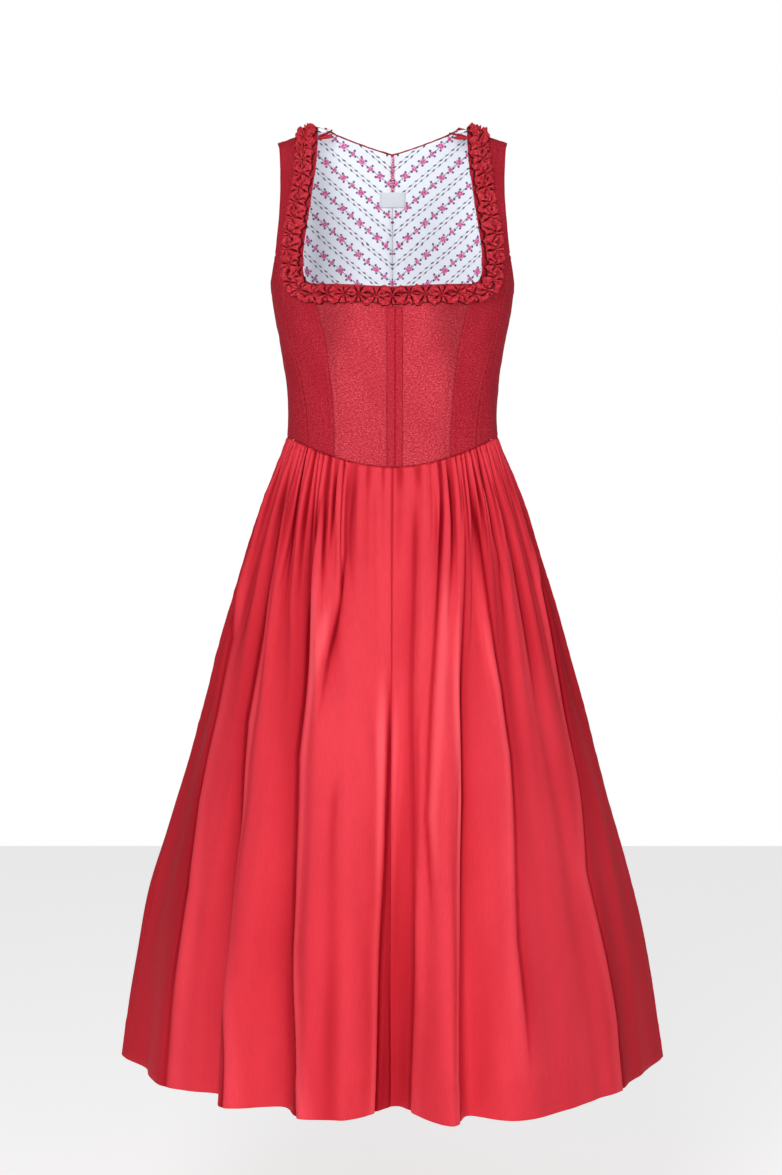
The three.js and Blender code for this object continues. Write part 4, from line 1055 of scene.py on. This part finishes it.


# Fold lines: points (share down, degrees at the waist), half width, depth, how dark its painted
# shade is, the side that painted shade lies on (1 away from the centre) and how far that reaches.
FOLD_LINES = [
    ([(0.04, -59), (0.2, -57), (0.44, -58.7), (0.7, -54.2), (1, -49.6)], 4, 3.2, 0.75, 1, 16),
    ([(0.06, -31.5), (0.18, -34.6), (0.3, -37.4), (0.48, -40), (0.76, -39.4), (1, -35)], 4, 4.4, 0.95, 1, 22),
    ([(0, -18), (0.15, -18.6), (0.23, -22.4), (0.33, -28.7), (0.44, -33)], 4.4, 4.2, 0.95, -1, 16),
    ([(0.3, -0.6), (0.5, -1.4), (0.68, -3), (0.82, -5.1), (1, -7.8)], 3.4, 4.2, 1.0, -1, 40),
    ([(0.05, 8), (0.24, 9), (0.5, 9.9), (0.68, 11.4), (1, 10)], 5.5, 2.6, 0.5, -1, 26),
    ([(0.06, 20), (0.2, 19), (0.33, 18.6), (0.44, 17.4), (0.56, 16), (0.74, 19.5)], 4, 3.6, 0.85, -1, 11),
    ([(0.02, 31.5), (0.25, 30.9), (0.54, 32.4), (1, 28.7)], 2.8, 5, 1.0, 1, 9),
    ([(0.05, 37), (0.13, 38.6), (0.26, 40.5), (0.38, 44.2), (0.48, 45), (0.75, 42.4), (0.96, 42.6)],
     3.5, 3.4, 0.8, 1, 14),
    ([(0.05, 51), (0.2, 56.5), (0.35, 56.3), (0.44, 55)], 4, 3, 0.6, 1, 14),
    ([(0.08, 87), (0.24, 74.4), (0.39, 71.7), (0.54, 67.8), (0.67, 62.1), (0.9, 64.7), (1, 64)],
     4, 3.4, 0.75, 1, 42),
    ([(0, -47), (0.12, -47.4), (0.27, -50)], 3, 3, 0.8, -1, 6),
    ([(0.5, 1), (1, 0.6)], 17, 0.5, 0.3, 1, 6),
    ([(0, -24.5), (0.1, -25.5), (0.2, -28)], 2.6, 2.8, 0.8, 1, 4),
    ([(0, 24.5), (0.12, 25.5), (0.3, 24)], 2.6, 3, 0.85, 1, 6),
    ([(0, 44.5), (0.1, 46), (0.26, 50)], 2.6, 2.8, 0.8, 1, 5),
    ([(0.08, -88), (0.2, -79.8), (0.32, -72.5), (0.57, -71), (0.7, -67), (1, -66)], 5, 3, 0.6, 1, 46),
]
# Smaller creases: start at the waist in degrees, where each begins and ends going down (0 the
# waist, 1 the hem), its half width and its height, below zero for a trough, and its drift.
CREASES = [
    (-6, 0.02, 0.3, 4, -1.0, 0), (-11, 0.0, 0.2, 3, 1.0, 2), (-15, 0.01, 0.24, 3.4, -1.6, 3),
    (-28, 0.0, 0.3, 3, -2.2, 2), (-32, 0.02, 0.4, 5, 2.2, -3), (-42, 0.02, 0.36, 4, 2.5, 3),
    (-52, 0.0, 0.3, 4, -2.2, -3), (-56, 0.0, 0.34, 4, 2.2, -3), (-67, 0.0, 0.4, 4.5, -2.2, -4),
    (-74, 0.05, 0.5, 7, 2.4, 6), (-82, 0.0, 0.5, 5, -2.0, -4), (-46, 0.45, 1.0, 12, 2.8, 4),
    (-24, 0.5, 1.0, 11, -1.6, 8), (-13, 0.4, 1.0, 14, 2.0, -6), (-60, 0.5, 1.0, 11, 2.6, 6),
    (5, 0.0, 0.26, 3.4, 1.0, 2), (13, 0.0, 0.34, 5, 2.0, -3), (16.5, 0.0, 0.2, 3, -1.8, 1),
    (28, 0.04, 0.8, 4.5, 2.6, 2), (34.4, 0.03, 0.4, 3, 2.2, -2), (41, 0.0, 0.22, 2.6, -2.2, 2),
    (48, 0.02, 0.4, 5, 2.2, -4), (62, 0.0, 0.4, 4, -2.4, 3), (68, 0.02, 0.3, 4, 2.0, -3),
    (80, 0.0, 0.44, 5, -2.0, -4), (14.5, 0.4, 0.95, 7, 3.2, -2), (24, 0.35, 0.95, 9, 2.4, 0),
    (37, 0.55, 1.0, 13, 1.8, 4), (54, 0.45, 1.0, 14, 2.4, -6), (75, 0.5, 1.0, 12, 2.2, 5),
]


def back_creases():
    """The hidden side: creases of the same kind, uneven in the same way."""
    dice = random.Random("back creases")
    rows, turn = [], 92.0
    while turn < 268:
        top = dice.choice((0.0, 0.0, 0.02, 0.05, 0.4, 0.5))
        end = 1.0 if top > 0.3 else dice.choice((0.2, 0.28, 0.34, 0.45, 0.6, 0.8, 0.97))
        wide = dice.uniform(3, 5) + 4 * (top > 0.3) + 2 * (end > 0.7)
        deep = dice.choice((-1, 1, -1)) * dice.uniform(1.8, 4.2) * (0.7 if end < 0.3 else 1)
        start = turn if turn < 180 else turn - 360
        rows.append((start, top, end, wide, min(deep, 2.6), dice.uniform(-6, 6)))
        turn += dice.uniform(1.8, 5.6)
    return rows


def back_lines():
    """The hidden side: the same kind of long fold, moved and bent a little."""
    dice = random.Random("back lines")
    rows = []
    for points, wide, deep, dark, way, reach in FOLD_LINES:
        moved, bent = dice.uniform(-5, 5), dice.uniform(-4, 4)
        turned = [(down, (180 if turn > 0 else -180) - turn + moved + bent * down) for down, turn in points]
        rows.append((turned, wide, deep * dice.uniform(0.7, 1.1), dark * 0.85, -way, reach))
    return rows


def run_to(turn, turns, run):
    """How far round each row the cloth gathered at `turn` on the waist lies."""
    order = np.argsort(turns)
    i = np.interp(turn, turns[order], order.astype(float))
    low = np.minimum(i.astype(int), run.shape[1] - 2)
    row = np.arange(len(run))
    return run[row, low] + (run[row, low + 1] - run[row, low]) * (i - low)


def line_lift(places, turns, down, lines):
    """Long folds: a trough, a roll on its lit side, painted shade in and beside the trough and a painted
    highlight on the roll.
    """
    run, _ = runs(places, 1)
    lift, painted_shade, painted_shine = (np.zeros(run.shape) for _ in range(3))
    for points, wide, deep, dark, way, reach in lines:
        keys, line = np.array(points).T
        turn = np.interp(down, keys, line)
        if turn.max() < turns.min() - 12 or turn.min() > turns.max() + 12:
            continue
        # Beyond the panel's edge the line goes on, so that its painted shade crosses the seam.
        past_last = np.clip(np.abs(turn) - np.abs(turns).max(), 0, None)
        past_first = np.clip(np.abs(turns).min() - turn * np.sign(turns.sum()), 0, None)
        at = run_to(turn, turns, run) + (past_last - past_first) * run[:, -1] / 90
        off = run - at[:, None]
        grow = (wide * (0.75 + 0.3 * down))[:, None]
        window = smooth(keys[0] - 0.03, keys[0] * 1.35 + 0.06, down)
        window = window * (1 - (keys[-1] < 0.99) * smooth(keys[-1] - 0.16, keys[-1], down))
        window = (window * (0.85 + 0.15 * np.sin(down * 9 + deep * 7)))[:, None]
        lift += window * deep * (0.45 * bell(off * way + 2.3 * grow, 1.7 * grow) - bell(off, grow))
        # Painted shade in the trough and on the side away from the light; a painted highlight on the roll
        beside = off * way
        fading = np.exp(-np.maximum(beside, 0) / reach)
        shade = bell(off, grow * 0.6) + 0.55 * smooth(-1, 2, beside) * fading
        shade = shade * (0.9 + 0.3 * down)[:, None]
        painted_shade += dark * np.clip(shade, 0, 1) * window
        painted_shine += dark * bell(off * way + 3.2 * grow, 2.2 * grow) * window
    return lift, painted_shade, painted_shine


def crease_lift(places, turns, down, creases):
    """Soft troughs and ridges along the cloth's own lines, with painted shade in the troughs."""
    run, _ = runs(places, 1)
    lift, painted_shade = np.zeros(run.shape), np.zeros(run.shape)
    for turn, top, end, wide, deep, drift in creases:
        if not turns.min() - 3 <= turn <= turns.max() + 3:
            continue
        share = np.clip((down - top) / (end - top), 0, 1)
        middle = run_to(turn, turns, run) + drift * np.sin(share * math.pi)
        middle = middle + 0.35 * drift * np.sin(share * 7 + turn)
        off = run - middle[:, None]
        grow = wide * (0.55 + 0.75 * share ** 0.8)[:, None]
        ending = smooth(end - 0.45 * (end - top), end, down) * (end < 0.96)
        window = smooth(top - 0.02, top + 0.05, down) * (1 - ending)
        window = window[:, None] * (0.8 + 0.2 * np.sin(share * 9 + turn)[:, None])
        if deep < 0:
            profile = bell(off, grow) - 0.32 * bell(np.abs(off) - 2.1 * grow, grow)
            # Painted shade in the trough
            painted_shade += -deep / PLEAT * bell(off, grow * 0.7) * window
        else:
            profile = bell(off, grow)
        lift += deep * profile * window
    return lift, painted_shade


DRAWN_OUT = np.array([1, 1, 0.12])  # makes unevenness longer down than round


def paint_skirt_shade(painted_shade, grid, turns, down, seed):
    """Adds broad painted shade: darker low down, darker at the sides where the skirt turns from the light,
    and soft clouds.
    """
    away, below = np.minimum(np.abs(turns), 180 - np.abs(turns)), down[:, None]
    broad_shade = np.maximum(0.2 * smooth(0.3, 0.8, below), 0.18 * smooth(18, 50, away) * smooth(0, 0.12, below))
    painted_shade += broad_shade + 0.3 * bell(away - 90, 22) * smooth(0.0, 0.3, below)
    painted_shade += 0.04 * ripple(seed + "t", grid * DRAWN_OUT, 70) * smooth(0.1, 0.4, down)[:, None]


def skirt_unevenness(lift, grid, down, seed):
    """Adds the cloth's soft unevenness."""
    lift += ripple(seed + "a", grid * DRAWN_OUT, 30) * 0.5 * smooth(0, 0.2, down)[:, None]
    lift += ripple(seed + "b", grid * DRAWN_OUT, 11) * 0.16 * (1 - smooth(0.1, 0.5, down))[:, None]
    lift += ripple(seed + "c", grid * np.array([1, 1, 0.5]), 90) * 1.1 * smooth(0.1, 0.6, down)[:, None]


def hem_marks(lift, painted_shade, grid, from_hem, seed):
    """Adds the turned-up hem, its stitching line with painted shade along it and a slightly darker band over
    the turned-up part; returns how high that line runs.
    """
    turned = HEM_TURN + 0.8 * ripple(seed + "h", grid, 120)
    lift += 0.35 * (1 - smooth(turned - 1.5, turned + 1.5, from_hem)) - 0.6 * bell(from_hem - turned, 1.3)
    lift += ripple(seed + "p", grid, 12) * bell(from_hem - turned, 9) * 0.4
    np.maximum(painted_shade, 0.42 * bell(from_hem - turned, 1.8), out=painted_shade)
    np.maximum(painted_shade, 0.22 * (1 - smooth(turned - 2, turned + 2, from_hem)), out=painted_shade)
    return turned


def make_skirt(first, side, creases, lines):
    word, part = ("left" if side > 0 else "right"), ("front" if first == 0 else "back")
    seed = f"skirt{part}{word}"
    columns, rows = 10 * QUARTER + 1, 112
    # One column more, past the side seam, so that the panels' surfaces meet there.
    order = np.arange(columns + 1) - (first > 0)
    inside = slice(1, None) if first else slice(0, -1)
    counts = first + QUARTER * order / (columns - 1)
    down = np.linspace(0, 1, rows) ** 1.4
    grid, dips = skirt_point(counts[None], side, down[:, None])
    turns = side * between(*GATHERS, counts[inside])
    along, across = np.gradient(grid, axis=0), np.gradient(grid, axis=1)
    normal = (np.cross(along, across) * side)[:, inside]
    normal[:, -1 if first else 0, 0] = 0
    normal /= np.linalg.norm(normal, axis=-1, keepdims=True)
    grid, dips = grid[:, inside], dips[:, inside]
    lift, painted_shade = crease_lift(grid, turns, down, creases)
    folded, shade, painted_shine = line_lift(grid, turns, down, lines)
    # Painted shade from the creases, the long folds and the gathers' troughs
    lift, painted_shade = lift + folded, 0.75 * painted_shade + shade + 0.8 * dips
    paint_skirt_shade(painted_shade, grid, turns, down, seed)
    from_left, from_right = runs(grid, 1)
    from_waist, from_hem = runs(grid, 0)
    edge = np.minimum(from_left, from_right)
    lift += 0.35 * bell(edge - 5, 2.6) + ripple(seed + "s", grid, 13) * bell(edge, 7) * 0.45
    # Painted shade along the side seams
    seam = 0.55 * (1 - 0.5 * smooth(0.3, 0.5, down))[:, None]
    painted_shade = np.clip(np.maximum(painted_shade, seam * bell(edge, 1.3)), 0, 1.15)
    skirt_unevenness(lift, grid, down, seed)
    # The gathering stitches bite at the waist
    puckers = ripple(seed + "w", grid, 6) * bell(from_waist, 12) * 0.5
    lift += -0.5 * bell(from_waist, 2.2) - 0.4 * bell(from_waist - 6, 2) + puckers
    # Painted shade along the gathering seam
    painted_shade = np.maximum(painted_shade, 0.5 * bell(from_waist, 1.6))
    turned = hem_marks(lift, painted_shade, grid, from_hem, seed)
    # Painted highlight on the long folds' rolls
    painted_shade = painted_shade - 0.5 * np.clip(painted_shine, 0, 1) * smooth(0.12, 0.3, down)[:, None]
    lift = lift * smooth(0, 4, edge) - 0.9 * bell(edge, 1.5)
    outer = grid + normal * lift[..., None]
    thick = SKIRT_CLOTH * (0.75 + 0.5 * (1 - smooth(turned - 1, turned + 2, from_hem)))
    under = outer - normal * thick[..., None]
    uv = np.stack([from_left, 760 - from_waist], axis=-1)
    # Rows go down here, so turning them over makes columns x rows point out on the left side.
    outer, under, uv, painted_shade = (a[::-1] for a in (outer, under, uv, painted_shade))
    if side < 0:
        outer, under, uv, painted_shade = (a[:, ::-1] for a in (outer, under, uv, painted_shade))
    made = add_shell(f"skirt_{part}_{word}", outer, under, uv, SKIRT_SATIN, 0.4, painted_shade)
    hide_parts(f"skirt_{part}_{word}")


for first, creases, lines in ((0, CREASES, FOLD_LINES), (QUARTER, back_creases(), back_lines())):
    for side in (1, -1):
        make_skirt(first, side, creases, lines)


# ---- Small sewn parts ----
def inside_back(x, height, deep):
    """A point inside the back, `deep` millimetres in from the panel's outer face."""
    at = on_body(np.abs(x), height, False)
    turn = np.where(np.asarray(x) < 0, -at[..., 0], at[..., 0])
    return body(turn, at[..., 1]) - body_normal(turn, at[..., 1]) * np.asarray(deep)[..., None]


def patch_between(low, high, bow, seed, crumple, columns=26, rows=9):
    """A small piece of cloth between two lines of three points, bowed toward the front."""
    u, v = np.linspace(0, 1, columns), np.linspace(0, 1, rows)[:, None, None]
    low, high = (np.stack([np.interp(u, (0, 0.5, 1), k) for k in zip(*line)], -1) for line in (low, high))
    grid = low * (1 - v) + high * v
    v = v[..., 0]
    swell = np.sin(v * math.pi) * np.sin(u * math.pi * 0.8 + 0.3)
    grid[..., 1] -= bow * swell + crumple * ripple(seed, grid, 5)
    uv = np.stack(np.broadcast_arrays(grid[..., 0], grid[..., 2] + 165.6), axis=-1)
    return grid, uv


# At each shoulder the back strap's lined corner and the ruche's turned-in end show inside the
# neckline. Points are x, y and height on the wearer's left; rows are lower and upper line.
CORNERS = {
    1: {"flap": ([(93, -2.5, 0.6), (81, 0, 4.2), (69.8, 5, 5.9)],
                 [(93.5, -2, 9.6), (81, 1, 9.0), (69.5, 6, 6.9)]),
        "end": ([(93.5, -4, -2.2), (82, -2, -3.2), (74.6, 0, -1.0)],
                [(94, -4, 0.2), (82, -2, 2.4), (74.4, 0, 0.2)]),
        "edge": [(93.5, -4, -0.9), (82, -2.4, 2.6), (72, 2.6, 5.2), (69.3, 4, 6.4)]},
    -1: {"flap": ([(93, -2.5, 0.2), (83, 0, 4.4), (74.3, 4, 8.6)],
                  [(93.5, -2, 12.6), (83, 1, 11.4), (74, 5, 9.8)]),
         "end": ([(93.5, -4, -4.4), (84, -2, -2.2), (74, 1, -0.2)],
                 [(93.5, -4, -0.8), (84, -2, 1.9), (73.8, 1, 4.6)]),
         "edge": [(93.5, -4, -0.9), (84, -2.4, 3.2), (75, 2.4, 8.2), (73.7, 3.6, 10.4)]},
}
STRAP_CLOTH = 0.9
for side, word in SIDE_WORDS:
    for part, cloth, slot, bow, crumple in (("flap", LINING, "lining_cloth", 1.4, 0.25),
                                            ("end", RUCHE_CLOTH, "ruche_cloth", 1.8, 0.55)):
        grid, uv = patch_between(*CORNERS[side][part], bow, f"{part}{word}", crumple)
        if part == "flap":
            uv = np.stack([uv[..., 0] * 0.4 + 3.0, uv[..., 1]], axis=-1)
        behind = grid + np.array([0, STRAP_CLOTH, 0])
        made = add_shell(f"strap_{part}_{word}", grid, behind, uv, cloth, 0.4, side=side)
    # The red turned edge under the flap, darkened by painted shade from the flap
    u = np.linspace(0, 1, 30)
    path = np.stack([between([0, 0.45, 0.9, 1], k, u) for k in np.array(CORNERS[side]["edge"]).T], axis=-1)
    path += ripple(f"edge{word}", path, 9)[:, None] * 0.15
    places, faces = tube(path * np.array([side, 1, 1]), 0.75 + 0.55 * np.sin(u * math.pi) ** 0.7)
    made = add_mesh(f"strap_edge_{word}", places, faces, BINDING, painted_shade=0.25)

# The bodice cloth rolls over the lining along the back neckline, a little darkened by painted shade.
share = np.linspace(-0.985, 0.985, 180)
neck = back_neck_point(np.abs(share))
neck_turn = np.where(share < 0, -neck[:, 0], neck[:, 0])
path = body(neck_turn, neck[:, 1]) - body_normal(neck_turn, neck[:, 1]) * 1.5
path[:, 2] += 0.35 + 0.2 * ripple("back neck", path, 16)
places, faces = tube(path, 1.05 + 0.12 * np.sin(share * 40))
made = add_mesh("back_neck_edge", places, faces, BINDING, painted_shade=0.2)

# A column of cross-stitches closes the lining at the centre back, above the label.
dice = random.Random("cross-stitch")
stitches = []
for k in range(14):
    height = -13.5 - 2.95 * k
    for way in (-1, 1):
        x = 0.2 + np.array([-2.1, 0, 2.1]) * way * dice.uniform(0.85, 1.1) + dice.uniform(-0.25, 0.25)
        z = height + np.array([-1.25, 0, 1.25]) * dice.uniform(0.85, 1.1)
        stitches.append(tube(inside_back(x, z, np.array([3.3, 3.9, 3.3]) + 0.15 * way), 0.48, 6))
places, faces = joined(stitches)
made = add_mesh("cross_stitches", places, faces, CROSS_STITCH)

# Running stitches hold the label's two folded ends.
stitches = []
for end in (-1, 1):
    x = np.full(3, LABEL["x"] + end * (LABEL["wide"] / 2 - 1.3))
    for k in range(9):
        z = LABEL["top"] - 1.6 - k * 1.8 + np.array([-0.6, 0, 0.6])
        stitches.append(tube(inside_back(x, z, [4.55, 4.8, 4.55]), 0.16, 5))
places, faces = joined(stitches)
made = add_mesh("label_stitches", places, faces, plain("Label thread", (0.40, 0.44, 0.48), 0.7))


# ---- Floor, light and camera ----
def stage_plane(name, size, height, material):
    mesh = bpy.data.meshes.new(name)
    h = size / 2
    corners = [(x * h, y * h, height) for x, y in ((-1, -1), (1, -1), (1, 1), (-1, 1))]
    mesh.from_pydata(corners, [], [(0, 1, 2, 3)])
    mesh.materials.append(material)
    made = bpy.data.objects.new(name, mesh)
    bpy.context.scene.collection.objects.link(made)


def soft_light(name, place, target, size, watts):
    data = bpy.data.lights.new(name, "AREA")
    data.shape, data.size, data.size_y, data.energy = "RECTANGLE", size[0], size[1], watts
    made = bpy.data.objects.new(name, data)
    made.location = place
    made.rotation_euler = (Vector(target) - Vector(place)).to_track_quat("-Z", "Y").to_euler()
    bpy.context.scene.collection.objects.link(made)


def light_world(behind, around):
    """A pale room, brightest straight behind the dress, so its sides turn darker."""
    world = bpy.data.worlds.new("Studio")
    bpy.context.scene.world = world
    world.use_nodes = True
    tree = world.node_tree
    shade = tree.nodes["Background"]
    where = tree.nodes.new("ShaderNodeTexCoord")
    split = tree.nodes.new("ShaderNodeSeparateXYZ")
    tree.links.new(where.outputs["Generated"], split.inputs[0])
    shift = tree.nodes.new("ShaderNodeMapRange")
    shift.interpolation_type = "SMOOTHSTEP"
    for socket, v in zip(list(shift.inputs)[1:], (0.8, 0.93, around, behind)):
        socket.default_value = v
    tree.links.new(split.outputs[1], shift.inputs[0])
    tree.links.new(shift.outputs[0], shade.inputs["Strength"])
    shade.inputs["Color"].default_value = (1, 1, 1, 1)


pale = plain("Pale floor", (0.6, 0.6, 0.6), 0.9, Emission_Color=(1, 1, 1, 1), Emission_Strength=0.6)
stage_plane("Floor", 9, -1.40, pale)
light_world(1.0, 0.26)
middle = (0, 0, -0.55)
soft_light("Key", (-0.7, -3.2, 0.5), middle, (1.1, 1.3), 66)
soft_light("Fill", (1.5, -2.9, -0.1), middle, (1.2, 1.6), 20)
soft_light("Top", (0.1, -0.7, 2.1), (0, 0, -0.3), (1.4, 1.2), 7)

scene = bpy.context.scene
scene.view_settings.view_transform = "Standard"
lens = bpy.data.cameras.new("Camera")
lens.sensor_fit, lens.sensor_height, lens.lens = "VERTICAL", 24, 2172 / 1175 * 24
camera = bpy.data.objects.new("Camera", lens)
camera.location, camera.rotation_euler = (-0.0018, -2.65, -0.549), (math.pi / 2, 0, 0)
scene.collection.objects.link(camera)
scene.camera = camera
